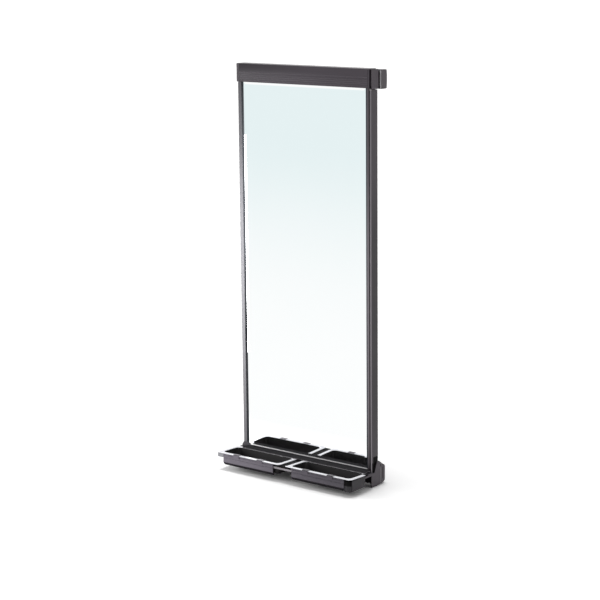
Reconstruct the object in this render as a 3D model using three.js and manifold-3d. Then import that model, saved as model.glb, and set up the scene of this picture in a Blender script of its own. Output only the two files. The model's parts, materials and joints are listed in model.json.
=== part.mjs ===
// Pull-out closet mirror: a tall framed mirror with two accessory trays, carried on telescopic slides.
// Millimetres, +Z up. X runs along the rails and +X is the way the mirror pulls out. The wardrobe's side
// panel is the plane Y = 0, everything stands in front of it at negative Y, and Z = 0 is the centre line
// of the bottom rail.
import * as THREE from "three";
import { mergeVertices } from "three/addons/utils/BufferGeometryUtils.js";
import Module from "manifold-3d";

const wasm = await Module();
wasm.setup();

// Clearances
const fit = 0.3; // between pieces that touch
const through = 5; // how far a cutting tool runs past a face
const roundSides = 16; // sides of a small round piece

// Fixed rails on the wardrobe's side panel
const railSpacing = 1195; // bottom rail's centre to top rail's centre
const railHeight = 56;
const railDepth = 27;
const railWall = 2;
const railLip = 8; // lips that turn in at the front of the channel
const railCorner = 10;
const railCapThickness = 5;
const screwHoleRadius = 2.5;
const screwHoleShares = [-0.4, -0.14, 0.14, 0.4]; // of the rail's length

// Telescopic slides, one in each rail
const slideSheet = 1.5;
const slideMargin = 9; // from the rail's top and bottom to the outer member
const slideDepth = 12.2;
const ballRadius = 1.7;
const ballGap = 4; // height of the race between two members
const ballPitch = 22;
const ballsInRow = 8;
const ballSides = 6;
const ballRings = 4;
const cageThickness = 0.6;
const webGap = 2.6; // from the outer member's web to the middle member's
const innerDepth = 6.6;
const slideEndGap = 6; // between a member's end and the rail's cap
const rivetRadius = 2;
const rivetHeadRadius = 3.6;
const rivetHead = 0.6;
const rivetShares = [-0.27, 0.27]; // of the rail's length

// Carriages that ride on the inner members
const stripGap = 2.2; // rail's front to the steel strip
const stripThickness = 1.5;
const stripHeight = 52;
const beamDepth = 8;
const beamWall = 1.6;
const beamRound = 1.1;
const padLength = 30;
const padHeight = 12;
const padShares = [-0.36, 0.36]; // of the rail's length
const carriageScrewRadius = 2;
const carriageScrewHeadRadius = 3.8;
const carriageScrewHead = 2;
const endCapThickness = 5;
const endCapProud = 4; // past the leaf's right side
const endCapCorner = 3;
const endCapBulge = 1.6;
const endCapBackGap = 0.6; // keeps the sliding cap off the wardrobe's panel

// Mirror leaf
const leafWidth = 500; // the rails are as long as the leaf is wide
const leafDepth = 33;
const leafGap = 5; // leaf's back to the carriage beam
const sightBottom = 28; // lower edge of the mirror above the bottom rail's centre
const coverDrop = 23; // cover's lower edge below the top rail's centre
const leftStileWidth = 16.4;
const rightStileWidth = 14.5;
const stileWall = 1.8;
const stileRound = 2.5;
const beadRadius = 3; // round hinge bead on the right stile's front corner
const beadGroove = 1.6;
const glassThickness = 4;
const glassSetback = 0.6;
const glassBite = 6; // glass hidden inside the cover and the sill
const leftSealWidth = 5.4;
const rightSealWidth = 3.7;
const sealSetback = 1.2;
const backPanelThickness = 3;

// Top cover of the leaf
const coverHeight = 55.8;
const coverProud = 2; // stands in front of the stiles
const coverWall = 2;
const coverOverhang = 2.4; // past the left stile
const coverCapWidth = 10;
const coverRightCapWidth = 5.6;
const coverRightInset = 4.7; // from the leaf's right side to the cover's end
const coverBead = 2.4;
const coverBeadProud = 0.8;
const coverBeadShare = 0.54;
const coverRib = 1.6;
const coverRibProud = 0.35;
const coverRibShares = [0.1, 0.2, 0.3, 0.4];

// Sill of the leaf, and the foot of the left stile
const sillHeight = 13.5;
const sillLip = 4; // lip in front of the glass
const sillLipRound = 1.6;
const sillBackDrop = 2;
const footFlareLeft = 6;
const footFlareRight = 13.6;
const footNeck = 5; // foot's top above the sight line
const footTaper = 10;
const footProud = 1;

// Pivot at the right stile
const pinRadius = 1.5;
const pinClearance = 0.3;
const pinLength = 40;
const pinSeat = 10;
const washerThickness = 1;
const seatGap = 0.5; // leaf's underside to the carriage's seat
const lugThickness = 3.2;
const lugRadius = 6;
const lugSlot = 0.5; // slack around the lug
const footRecess = 50; // open height behind the right stile's foot
const bracketPlate = 3.2;
const topPlateHeight = 57.7;
const topPlateRound = 3;
const flangeLength = 46;
const flangeThickness = 2.2;
const flangeHeight = 40;

// Bottom bracket, seen from the right side
const lowerPlate = 4;
const lowerPlateFront = 0.8; // in front of the leaf's front face
const seatLength = 16;
const seatWidth = 22;
const seatDepth = 27;
const gussetTop = 32; // above the seat
const gussetRun = 13;
const gussetFlat = 11;
const hingeBlockGap = 1; // from the gusset's top to the block above it
const lowerPlateDrop = 2.5; // belly below the rail
const bellyShare = 1.6; // of the seat's length, where the belly starts
const lowerCapCorner = 12;
const lowerCapBackGap = 9;
const lowerCapRise = 4; // shoulder above the rail
const lowerCapLift = 2; // underside above the rail's
const slotWidth = 4;
const slotHeight = 35;
const slotDepth = 2;
const slotFromBack = 20; // slot's centre before the wardrobe's panel

// Catch that holds the closed leaf
const catchLength = 25;
const catchHeight = 14;
const catchFromEnd = 12;

// Accessory trays and what carries them
const trayOverhang = 8; // past the leaf at each end
const trayDepth = 100;
const trayGap = 24;
const trayShift = 1; // the pair's centre past the leaf's centre
const trayHeight = 34;
const trayWall = 1.8;
const trayDraft = 4;
const trayTilt = 2.1; // degrees, front edge up
const traySteps = 6; // steps in each rounded corner
const rimWidth = 12;
const rimThickness = 1.8;
const rimCorner = 12;
const rimSharpCorner = 3; // at the left end of the front edge
const rimInnerCorner = 14;
const skirtHeight = 13;
const skirtThickness = 1.5;
const skirtBackGap = 13;
const linerThickness = 2;
const linerMargin = 3;
const hangerDepth = 23.4;
const hangerThickness = 3;
const hangerDrop = 8; // its top below the sight line
const hangerInset = 2; // inside the trays' outer sides
const hangerUnderRim = 6.7;
const flangeOverRim = 12; // the hanger's upper flange over the trays' back edges
const upperFlange = 2.2;
const upperFlangeLeftInset = 22; // from the leaf's left side
const upperFlangeRightInset = 3; // from the leaf's right side
const armWidth = 6;
const middleArmWidth = 12;
const armHeight = 6;
const frontBarDepth = 4;
const panelInset = 24;
const panelThickness = 2;
const panelFace = 27.4;
const panelReturn = 8;
const panelReturnDrop = 9;
const panelGroove = 0.5;
const panelGrooveHeight = 1.4;
const panelGrooveShares = [0.36, 0.84];
const clipWidth = 22;
const clipThickness = 1.3;
const clipReach = 13;
const clipDrop = 5;
const clipShares = [-0.235, 0.235]; // of the panel's width
const sidePanelFrontGap = 9;
const sidePanelLength = 66;
const cornerPostDrop = 4.5; // notch under the rim
const cornerPostWall = 3;
const cornerPostRadius = 10;

// Places that follow from the sizes above
const railLength = leafWidth;
const trayWidth = (leafWidth + 2 * trayOverhang - trayGap) / 2;
const xLeft = -leafWidth / 2;
const xRight = leafWidth / 2;
const railEnd = railLength / 2;
const yRailFront = -railDepth;
const yStripBack = yRailFront - stripGap;
const yStripFront = yStripBack - stripThickness;
const yBeamBack = yStripFront - fit;
const yBeamFront = yBeamBack - beamDepth;
const yLeafBack = yBeamFront - leafGap;
const yLeafFront = yLeafBack - leafDepth;
const yGlassFront = yLeafFront + glassSetback;
const yGlassBack = yGlassFront + glassThickness;
const xPivot = xRight - beadRadius;
const yPivot = yLeafFront + beadRadius;
const zCover = railSpacing - coverDrop;
const zSeat = sightBottom - sillHeight - seatGap;
const zRails = [0, railSpacing];

const finishes = {
  frame: { color: 0x554e54, roughness: 0.42, metalness: 0.75 },
  frameLight: { color: 0x8a848c, roughness: 0.4, metalness: 0.7 },
  steel: { color: 0xb9bcc0, roughness: 0.3, metalness: 0.9 },
  capPlastic: { color: 0x5c5853, roughness: 0.6, metalness: 0 },
  blackPlastic: { color: 0x232124, roughness: 0.65, metalness: 0 },
  nylon: { color: 0xd8d4c8, roughness: 0.5, metalness: 0 },
  mirror: { color: 0xdfe9ea, roughness: 0.03, metalness: 1 },
  board: { color: 0x3b383a, roughness: 0.8, metalness: 0 },
  seal: { color: 0x1c1d21, roughness: 0.8, metalness: 0 },
  rim: { color: 0xe6e6ea, roughness: 0.3, metalness: 0.3 },
  trayPanel: { color: 0x807a86, roughness: 0.4, metalness: 0.6 },
  felt: { color: 0x2a2627, roughness: 0.95, metalness: 0 },
};

const assembly = new THREE.Group();

// Adds one named piece to a group.
function piece(name, geometry, finish, group = assembly) {
  const mesh = new THREE.Mesh(geometry, new THREE.MeshStandardMaterial(finishes[finish]));
  mesh.name = name;
  group.add(mesh);
  return mesh;
}

function plain(geometry) {
  const flat = geometry.index ? geometry.toNonIndexed() : geometry.clone();
  flat.deleteAttribute("normal");
  flat.deleteAttribute("uv");
  return flat;
}

function toSolid(geometry) {
  const merged = mergeVertices(plain(geometry), 1e-4);
  return new wasm.Manifold(
    new wasm.Mesh({
      numProp: 3,
      vertProperties: merged.attributes.position.array,
      triVerts: new Uint32Array(merged.index.array),
    }),
  );
}

function fromSolid(solid) {
  const mesh = solid.getMesh();
  const geometry = new THREE.BufferGeometry();
  geometry.setAttribute("position", new THREE.BufferAttribute(mesh.vertProperties, 3));
  geometry.setIndex(new THREE.BufferAttribute(mesh.triVerts, 1));
  const flat = geometry.toNonIndexed();
  flat.computeVertexNormals();
  return flat;
}

function cut(geometry, tools) {
  return fromSolid(tools.reduce((body, tool) => body.subtract(toSolid(tool)), toSolid(geometry)));
}

function trim(geometry, outer) {
  return fromSolid(toSolid(geometry).intersect(toSolid(outer)));
}

function join(geometries) {
  return fromSolid(geometries.map(toSolid).reduce((body, next) => body.add(next)));
}

function box(x0, x1, y0, y1, z0, z1) {
  const geometry = new THREE.BoxGeometry(x1 - x0, y1 - y0, z1 - z0);
  return geometry.translate((x0 + x1) / 2, (y0 + y1) / 2, (z0 + z1) / 2);
}

function shapeOf(outline, holes = []) {
  const shape = new THREE.Shape(outline.map(([u, v]) => new THREE.Vector2(u, v)));
  shape.holes = holes.map((hole) => new THREE.Path(hole.map(([u, v]) => new THREE.Vector2(u, v))));
  return shape;
}

// A section in (y, z) carried from x0 to x1.
function alongX(outline, x0, x1, holes) {
  const geometry = new THREE.ExtrudeGeometry(shapeOf(outline, holes), {
    depth: x1 - x0,
    bevelEnabled: false,
  });
  const turn = new THREE.Matrix4().makeBasis(
    new THREE.Vector3(0, 1, 0),
    new THREE.Vector3(0, 0, 1),
    new THREE.Vector3(1, 0, 0),
  );
  return geometry.applyMatrix4(turn).translate(x0, 0, 0);
}

// A section in (x, y) carried from z0 to z1.
function alongZ(outline, z0, z1, holes) {
  const shape = shapeOf(outline, holes);
  const geometry = new THREE.ExtrudeGeometry(shape, { depth: z1 - z0, bevelEnabled: false });
  return geometry.translate(0, 0, z0);
}

// Points of an arc, from one angle in degrees to another.
function arc(cu, cv, radius, from, to, steps) {
  const points = [];
  for (let i = 0; i <= steps; i += 1) {
    const angle = THREE.MathUtils.degToRad(from + ((to - from) * i) / Math.max(steps, 1));
    points.push([cu + radius * Math.cos(angle), cv + radius * Math.sin(angle)]);
  }
  return points;
}

// A rectangle with a radius at each corner: low-low, high-low, high-high, low-high.
function roundedOutline(u0, u1, v0, v1, radii, steps = 4) {
  const [r0, r1, r2, r3] = radii;
  return [
    ...arc(u0 + r0, v0 + r0, r0, 180, 270, r0 ? steps : 0),
    ...arc(u1 - r1, v0 + r1, r1, 270, 360, r1 ? steps : 0),
    ...arc(u1 - r2, v1 - r2, r2, 0, 90, r2 ? steps : 0),
    ...arc(u0 + r3, v1 - r3, r3, 90, 180, r3 ? steps : 0),
  ];
}

function lifted(outline, rise) {
  return outline.map(([u, v]) => [u, v + rise]);
}

// A round bar along Y, from y0 to y1.
function barAlongY(x, z, radius, y0, y1) {
  const geometry = new THREE.CylinderGeometry(radius, radius, y1 - y0, roundSides);
  return geometry.translate(x, (y0 + y1) / 2, z);
}

// A round bar along Z, from z0 to z1.
function barAlongZ(x, y, radius, z0, z1) {
  const geometry = new THREE.CylinderGeometry(radius, radius, z1 - z0, roundSides);
  return geometry.rotateX(Math.PI / 2).translate(x, y, (z0 + z1) / 2);
}

// A headed pin along Y: its head is in front, at the lower y.
function headedPin(x, z, shankRadius, headRadius, head, yHead, yEnd) {
  const profile = [
    new THREE.Vector2(0, yHead),
    new THREE.Vector2(headRadius, yHead),
    new THREE.Vector2(headRadius, yHead + head),
    new THREE.Vector2(shankRadius, yHead + head),
    new THREE.Vector2(shankRadius, yEnd),
    new THREE.Vector2(0, yEnd),
  ];
  return new THREE.LatheGeometry(profile, roundSides).translate(x, 0, z);
}

// A closed body through rings of points, with a flat face over the first and the last ring.
function loft(rings) {
  const count = rings[0].length;
  const centre = (ring) => {
    const sum = ring.reduce((s, p) => [s[0] + p[0], s[1] + p[1], s[2] + p[2]], [0, 0, 0]);
    return sum.map((value) => value / count);
  };
  const triangles = [];
  const first = rings[0];
  const last = rings[rings.length - 1];
  for (let i = 0; i < count; i += 1) {
    const next = (i + 1) % count;
    triangles.push(centre(first), first[next], first[i]);
    triangles.push(centre(last), last[i], last[next]);
    for (let k = 0; k + 1 < rings.length; k += 1) {
      const [low, high] = [rings[k], rings[k + 1]];
      triangles.push(low[i], low[next], high[next], low[i], high[next], high[i]);
    }
  }
  const geometry = new THREE.BufferGeometry();
  geometry.setAttribute("position", new THREE.Float32BufferAttribute(triangles.flat(), 3));
  geometry.computeVertexNormals();
  return geometry;
}

// Fixed channels with their left caps. The section is open to the front, where two lips turn in.
function railSection() {
  const half = railHeight / 2;
  const corner = railCorner;
  const inner = corner - railWall;
  return [
    [yRailFront, half - railLip],
    [yRailFront, half],
    ...arc(-corner, half - corner, corner, 90, 0, 4),
    ...arc(-corner, corner - half, corner, 0, -90, 4),
    [yRailFront, -half],
    [yRailFront, railLip - half],
    [yRailFront + railWall, railLip - half],
    [yRailFront + railWall, railWall - half],
    ...arc(-corner, corner - half, inner, -90, 0, 4),
    ...arc(-corner, half - corner, inner, 0, 90, 4),
    [yRailFront + railWall, half - railWall],
    [yRailFront + railWall, half - railLip],
  ].reverse();
}

const yOuterBack = -railWall - fit;
const yOuterFront = yOuterBack - slideDepth;
const yOuterWebFront = yOuterBack - slideSheet;
const yMiddleBack = yOuterWebFront - webGap;
const yInnerFront = yOuterFront - fit - slideSheet;
const outerHalf = railHeight / 2 - slideMargin;
const middleHalf = outerHalf - slideSheet - ballGap;
const innerHalf = middleHalf - slideSheet - ballGap;
const memberStart = -railEnd + railCapThickness + fit;
const memberEnd = railEnd - endCapThickness - fit;

// A channel section in (y, z): web at yWeb, flanges running to yOpen.
function channel(yWeb, yOpen, half, sheet) {
  const side = Math.sign(yOpen - yWeb);
  const web = yWeb + side * sheet;
  const outline = [
    [yWeb, -half],
    [yOpen, -half],
    [yOpen, sheet - half],
    [web, sheet - half],
    [web, half - sheet],
    [yOpen, half - sheet],
    [yOpen, half],
    [yWeb, half],
  ];
  return side > 0 ? outline : outline.reverse();
}

function buildRail(place, zRail) {
  const yHole = yOuterWebFront - webGap / 2;
  const bores = (shares, radius) =>
    shares.map((share) => barAlongY(share * railLength, zRail, radius, yHole, through));
  const holes = bores(screwHoleShares, screwHoleRadius);
  const rivetHoles = bores(rivetShares, rivetRadius + fit);
  const housing = alongX(lifted(railSection(), zRail), memberStart, memberEnd);
  piece(`${place}_rail_housing`, cut(housing, [...holes, ...rivetHoles]), "frame");

  const half = railHeight / 2;
  const capOutline = roundedOutline(
    yRailFront,
    0,
    zRail - half,
    zRail + half,
    [0, railCorner, railCorner, 0],
  );
  piece(
    `${place}_rail_left_cap`,
    alongX(capOutline, -railEnd, -railEnd + railCapThickness),
    "capPlastic",
  );

  const outer = alongX(
    lifted(channel(yOuterBack, yOuterFront, outerHalf, slideSheet), zRail),
    memberStart + fit,
    memberEnd - fit,
  );
  piece(`${place}_outer_slide`, cut(outer, [...holes, ...rivetHoles]), "steel");

  rivetShares.forEach((share, i) => {
    const yHead = yOuterWebFront - fit - rivetHead;
    const rivet = [rivetRadius, rivetHeadRadius, rivetHead, yHead, -fit];
    piece(`${place}_slide_rivet_${i + 1}`, headedPin(share * railLength, zRail, ...rivet), "steel");
  });
}

// A retainer between two members: a thin channel whose flanges hold two rows of balls.
function buildBallCage(name, zRail, zRace, yBack, yBall) {
  const rowLength = (ballsInRow - 1) * ballPitch;
  const half = zRace + cageThickness / 2;
  const section = channel(yBack, yBall - ballRadius / 2, half, cageThickness);
  const reach = (rowLength + ballPitch) / 2;
  const solids = [alongX(lifted(section, zRail), -reach, reach)];
  for (const side of [-1, 1]) {
    for (let i = 0; i < ballsInRow; i += 1) {
      const ball = new THREE.SphereGeometry(ballRadius, ballSides, ballRings);
      solids.push(ball.translate(i * ballPitch - rowLength / 2, yBall, zRail + side * zRace));
    }
  }
  piece(name, join(solids), "nylon");
}

function buildSlideMembers(place, zRail) {
  const middle = alongX(
    lifted(channel(yMiddleBack, yOuterFront, middleHalf, slideSheet), zRail),
    memberStart + slideEndGap,
    memberEnd - slideEndGap,
  );
  piece(`${place}_middle_slide`, middle, "steel");
  buildBallCage(
    `${place}_outer_ball_cage`,
    zRail,
    middleHalf + ballGap / 2,
    yOuterWebFront - rivetHead - 2 * fit,
    (yOuterFront + yMiddleBack) / 2,
  );
  buildBallCage(
    `${place}_inner_ball_cage`,
    zRail,
    innerHalf + ballGap / 2,
    yMiddleBack - slideSheet - 2 * fit,
    (yOuterFront + yInnerFront + innerDepth) / 2,
  );
}

for (const [place, zRail] of [
  ["bottom", zRails[0]],
  ["top", zRails[1]],
]) {
  buildRail(place, zRail);
  buildSlideMembers(place, zRail);
}

// Carriages: inner slide member, steel plate with two raised pads, and beam on each rail.
function buildCarriage(place, zRail, xStripEnd, xBeamEnd) {
  const xs = padShares.map((share) => share * railLength);
  const screwHoles = xs.map((x) =>
    barAlongY(x, zRail, carriageScrewRadius + fit, yBeamFront - through, yInnerFront + innerDepth),
  );

  const yInnerOpen = yInnerFront + innerDepth;
  const inner = alongX(
    lifted(channel(yInnerFront, yInnerOpen, innerHalf, slideSheet), zRail),
    memberStart + slideEndGap,
    memberEnd - slideEndGap,
  );
  piece(`${place}_inner_slide`, cut(inner, screwHoles), "steel");

  const pads = xs.map((x) =>
    box(
      x - padLength / 2,
      x + padLength / 2,
      yStripFront + stripThickness / 2,
      yInnerFront - fit,
      zRail - padHeight / 2,
      zRail + padHeight / 2,
    ),
  );
  const stripHalf = stripHeight / 2;
  const strip = box(
    -railEnd + railCapThickness,
    xStripEnd,
    yStripFront,
    yStripBack,
    zRail - stripHalf,
    zRail + stripHalf,
  );
  piece(`${place}_carriage_plate`, cut(join([strip, ...pads]), screwHoles), "steel");

  const beamOutline = roundedOutline(
    yBeamFront,
    yBeamBack,
    zRail - stripHalf,
    zRail + stripHalf,
    [beamRound, 0, 0, beamRound],
  );
  const webHalf = carriageScrewHeadRadius + beamWall;
  const hollow = (low, high) =>
    roundedOutline(yBeamFront + beamWall, yBeamBack - beamWall, low, high, [0, 0, 0, 0]).reverse();
  const beam = alongX(beamOutline, -railEnd + railCapThickness, xBeamEnd, [
    hollow(zRail - stripHalf + beamWall, zRail - webHalf),
    hollow(zRail + webHalf, zRail + stripHalf - beamWall),
  ]);
  piece(`${place}_beam`, cut(beam, screwHoles), "frame");

  const yHead = yBeamFront - fit - carriageScrewHead;
  const screw = [carriageScrewRadius, carriageScrewHeadRadius, carriageScrewHead, yHead];
  xs.forEach((x, i) => {
    const geometry = headedPin(x, zRail, ...screw, yInnerFront + slideSheet);
    piece(`${place}_carriage_screw_${i + 1}`, geometry, "steel");
  });
}

const xLowerPlate = xRight - lowerPlate;
buildCarriage("bottom", zRails[0], xRight, xLowerPlate - fit);
buildCarriage("top", zRails[1], xRight + endCapProud, xRight - endCapThickness);

// Cap on the top carriage's outer end: it covers the rail's open end when the mirror is pushed in.
const topCapHalf = railHeight / 2;
const yCapBack = -endCapBackGap - endCapBulge;
const bulgeShares = [-0.8, -0.4, 0, 0.4, 0.8]; // of the half height, along the cap's back edge
const topCapOutline = [
  [yStripBack + fit, railSpacing - topCapHalf],
  ...arc(yCapBack - endCapCorner, railSpacing - topCapHalf + endCapCorner, endCapCorner, 270, 360, 4),
  ...bulgeShares.map((share) => [
    yCapBack + endCapBulge * (1 - share * share),
    railSpacing + share * (topCapHalf - endCapCorner),
  ]),
  ...arc(yCapBack - endCapCorner, railSpacing + topCapHalf - endCapCorner, endCapCorner, 0, 90, 4),
  [yStripBack + fit, railSpacing + topCapHalf],
];
piece(
  "top_end_cap",
  alongX(topCapOutline, xRight - endCapThickness, xRight + endCapProud),
  "capPlastic",
);

// Top bracket: side plate, lug over the right stile, and a flange on the beam.
const zLug = zCover - fit - lugThickness;
const xPlate = xRight - bracketPlate;
const yFlange = yBeamFront - fit - flangeThickness;
const yPlateFront = yPivot + fit;
const topPlate = alongX(
  roundedOutline(
    yPlateFront,
    yBeamFront - fit,
    zLug,
    zLug + topPlateHeight,
    [0, 0, topPlateRound, topPlateRound],
  ),
  xPlate,
  xRight,
);
const lugDisc = barAlongZ(xPivot, yPivot, lugRadius, zLug, zLug + lugThickness);
const lugArm = box(xPivot - beadRadius, xRight, yPivot, yFlange + flangeThickness, zLug, zLug + lugThickness);
const topFlange = box(
  xRight - flangeLength,
  xRight,
  yFlange,
  yFlange + flangeThickness,
  railSpacing - flangeHeight / 2,
  railSpacing + flangeHeight / 2,
);
const pinHole = (z0, z1) => barAlongZ(xPivot, yPivot, pinRadius + pinClearance, z0, z1);
piece(
  "top_bracket",
  cut(join([topPlate, lugDisc, lugArm, topFlange]), [pinHole(zLug - through, zLug + lugThickness + through)]),
  "frame",
);
piece(
  "top_pivot_pin",
  barAlongZ(xPivot, yPivot, pinRadius, zLug + lugThickness - pinLength, zLug + lugThickness),
  "steel",
);

// Bottom bracket: side plate with its gusset, and the seat that the leaf turns on.
const yLowerFront = yLeafFront - lowerPlateFront;
const yGusset = yLowerFront + seatLength;
const railHalf = railHeight / 2;
const yCapMiddle = -lowerCapBackGap - lowerCapCorner;
const capShoulder = [
  ...arc(yCapMiddle, lowerCapCorner - railHalf + lowerCapLift, lowerCapCorner, -80, 0, 5),
  ...arc(yCapMiddle, railHalf - lowerCapCorner + lowerCapRise, lowerCapCorner, 0, 60, 5),
];
const zGusset = zSeat + gussetTop;
const yGussetTop = yGusset + gussetRun + gussetFlat;
const lowerOutline = [
  [yLowerFront, -railHalf],
  [yLowerFront + seatLength * bellyShare, -railHalf - lowerPlateDrop],
  ...capShoulder,
  [yGussetTop, zGusset],
  [yGusset + gussetRun, zGusset],
  [yGusset, zSeat],
  [yLowerFront, zSeat],
];
const lowerBlank = alongX(lowerOutline, xLowerPlate, xRight);
const zHalf = [-railSpacing, railSpacing];
const frontHalf = box(xLowerPlate - fit, xRight + fit, yLowerFront - fit, yStripFront - fit, ...zHalf);
const rearHalf = box(xLowerPlate - fit, xRight + fit, yStripBack + fit, 0, ...zHalf);
const seatBlock = box(
  xLowerPlate - seatWidth,
  xRight - lowerPlate / 2,
  yLowerFront,
  yBeamFront - fit,
  zSeat - seatDepth,
  zSeat,
);
const slotCentre = -slotFromBack;
const plateSlot = box(
  xRight - slotDepth,
  xRight + through,
  slotCentre - slotWidth / 2,
  slotCentre + slotWidth / 2,
  -slotHeight / 2 + slotWidth,
  slotHeight / 2 + slotWidth,
);
piece(
  "bottom_bracket",
  cut(join([trim(lowerBlank, frontHalf), seatBlock]), [pinHole(zSeat - pinSeat, zSeat + through)]),
  "frame",
);
piece("bottom_end_cap", cut(trim(lowerBlank, rearHalf), [plateSlot]), "capPlastic");
piece(
  "bottom_pivot_pin",
  barAlongZ(xPivot, yPivot, pinRadius, zSeat - pinSeat + fit, zSeat - pinSeat + fit + pinLength),
  "steel",
);

// Nylon washers that the leaf turns on, around both pins.
const washer = (z) =>
  cut(barAlongZ(xPivot, yPivot, beadRadius, z, z + washerThickness), [pinHole(z - through, z + through)]);
const zStileFoot = zSeat + washerThickness + 2 * fit;
const zNotch = zLug - washerThickness - 2 * fit;
piece("bottom_pivot_washer", washer(zSeat + fit), "nylon");
piece("top_pivot_washer", washer(zNotch + fit), "nylon");

// Magnetic catch on the top beam, near the leaf's free end.
const xCatch = xLeft + catchFromEnd;
const catchLow = railSpacing - catchHeight / 2;
const catchHigh = railSpacing + catchHeight / 2;
piece(
  "catch_magnet",
  box(xCatch, xCatch + catchLength, yLeafBack + fit, yBeamFront - fit, catchLow, catchHigh),
  "blackPlastic",
);

// Leaf: right stile, with a round hinge bead on its front corner.
const zStileTop = zCover - fit;
const xRightStile = xRight - rightStileWidth;
const rightStileOutline = [
  [xRightStile, yLeafFront],
  [xPivot - beadRadius - beadGroove, yLeafFront],
  [xPivot - beadRadius - beadGroove, yPivot],
  ...arc(xPivot, yPivot, beadRadius, 180, 360, 10),
  [xRight, yLeafBack],
  [xRightStile, yLeafBack],
];
const yFootBack = yPivot + beadRadius + stileWall;
const rightHollow = [
  [xRightStile + stileWall, yFootBack],
  [xRight - stileWall, yFootBack],
  [xRight - stileWall, yLeafBack - stileWall],
  [xRightStile + stileWall, yLeafBack - stileWall],
].reverse();
const rightStile = alongZ(rightStileOutline, zStileFoot, zStileTop, [rightHollow]);
const footCut = box(
  xRightStile - through,
  xRight + through,
  yFootBack,
  yLeafBack + through,
  zStileFoot - through,
  zSeat + footRecess,
);
const lugCut = box(
  xPivot - lugRadius - lugSlot,
  xRight + through,
  yLeafFront - through,
  yLeafBack + through,
  zNotch,
  zStileTop + through,
);
piece(
  "right_stile",
  cut(rightStile, [footCut, lugCut, pinHole(zStileFoot - through, zStileTop + through)]),
  "frame",
);

// Moulded block in the foot's recess: beside the gusset, and over it.
const yBlock = [yFootBack + fit, yLeafBack - fit];
const zBlockTop = zSeat + footRecess - fit;
const blockBeside = box(xRightStile + fit, xLowerPlate - 2 * fit, ...yBlock, zStileFoot, zBlockTop);
const blockOver = box(xRightStile + fit, xRight, ...yBlock, zGusset + hingeBlockGap, zBlockTop);
piece("hinge_block", join([blockBeside, blockOver]), "blackPlastic");

// Left stile, standing in its foot.
const zFootTop = sightBottom + footNeck;
const zSill = sightBottom - sillHeight;
const xLeftStile = xLeft + leftStileWidth;
piece(
  "left_stile",
  alongZ(
    roundedOutline(xLeft, xLeftStile, yLeafFront, yLeafBack, [stileRound, 0, 0, stileRound], 3),
    zFootTop + fit,
    zStileTop,
    [
      roundedOutline(
        xLeft + stileWall,
        xLeftStile - stileWall,
        yLeafFront + stileWall,
        yLeafBack - stileWall,
        [0, 0, 0, 0],
      ).reverse(),
    ],
  ),
  "frameLight",
);

const footRing = (x0, x1, y0, y1, z) => [
  [x0, y0, z],
  [x1, y0, z],
  [x1, y1, z],
  [x0, y1, z],
];
const xFootRight = xLeftStile + footFlareRight;
piece(
  "left_foot",
  loft([
    footRing(xLeft - footFlareLeft, xFootRight, yLeafFront - footProud, yLeafBack, zSill),
    footRing(xLeft - footFlareLeft, xFootRight, yLeafFront - footProud, yLeafBack, zFootTop - footTaper),
    footRing(xLeft, xLeftStile + leftSealWidth, yLeafFront, yLeafBack, zFootTop),
  ]),
  "frame",
);

// Glass, side seals and backing board.
const xGlassLeft = xLeftStile + fit + leftSealWidth + fit;
const xGlassRight = xRightStile - fit - rightSealWidth - fit;
const glass = box(
  xGlassLeft,
  xGlassRight,
  yGlassFront,
  yGlassBack,
  sightBottom - glassBite,
  zCover + glassBite,
);
const sealFront = yLeafFront + sealSetback;
const sealBack = yGlassBack + fit + backPanelThickness;
const leftSeal = box(
  xLeftStile + fit,
  xLeftStile + fit + leftSealWidth,
  sealFront,
  sealBack,
  zFootTop + fit,
  zStileTop,
);
const rightSeal = box(
  xRightStile - fit - rightSealWidth,
  xRightStile - fit,
  sealFront,
  sealBack,
  sightBottom + fit,
  zStileTop,
);
const footClear = box(
  xLeft - through,
  xFootRight + fit,
  yLeafFront - through,
  yLeafBack,
  zSill - through,
  zFootTop + fit,
);
piece("mirror_glass", cut(glass, [footClear]), "mirror");
piece("left_glass_seal", leftSeal, "seal");
piece("right_glass_seal", rightSeal, "seal");
const backPanel = box(
  xGlassLeft,
  xGlassRight,
  yGlassBack + fit,
  yGlassBack + fit + backPanelThickness,
  sightBottom + fit,
  zStileTop,
);
piece("back_panel", cut(backPanel, [footClear]), "board");

// Sill under the glass: lip in front, groove, and a body behind.
const ySillFront = yLeafFront - sillLip;
const grooveFront = yGlassFront - fit;
const grooveBack = yGlassBack + fit;
const grooveFloor = sightBottom - glassBite - fit;
const sillOutline = [
  [ySillFront, zSill],
  [yLeafBack, zSill],
  [yLeafBack, sightBottom - sillBackDrop],
  [grooveBack, sightBottom - sillBackDrop],
  [grooveBack, grooveFloor],
  [grooveFront, grooveFloor],
  [grooveFront, sightBottom],
  ...arc(ySillFront + sillLipRound, sightBottom - sillLipRound, sillLipRound, 90, 180, 3),
];
piece("bottom_sill", alongX(sillOutline, xFootRight + fit, xRightStile - fit), "frameLight");

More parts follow.
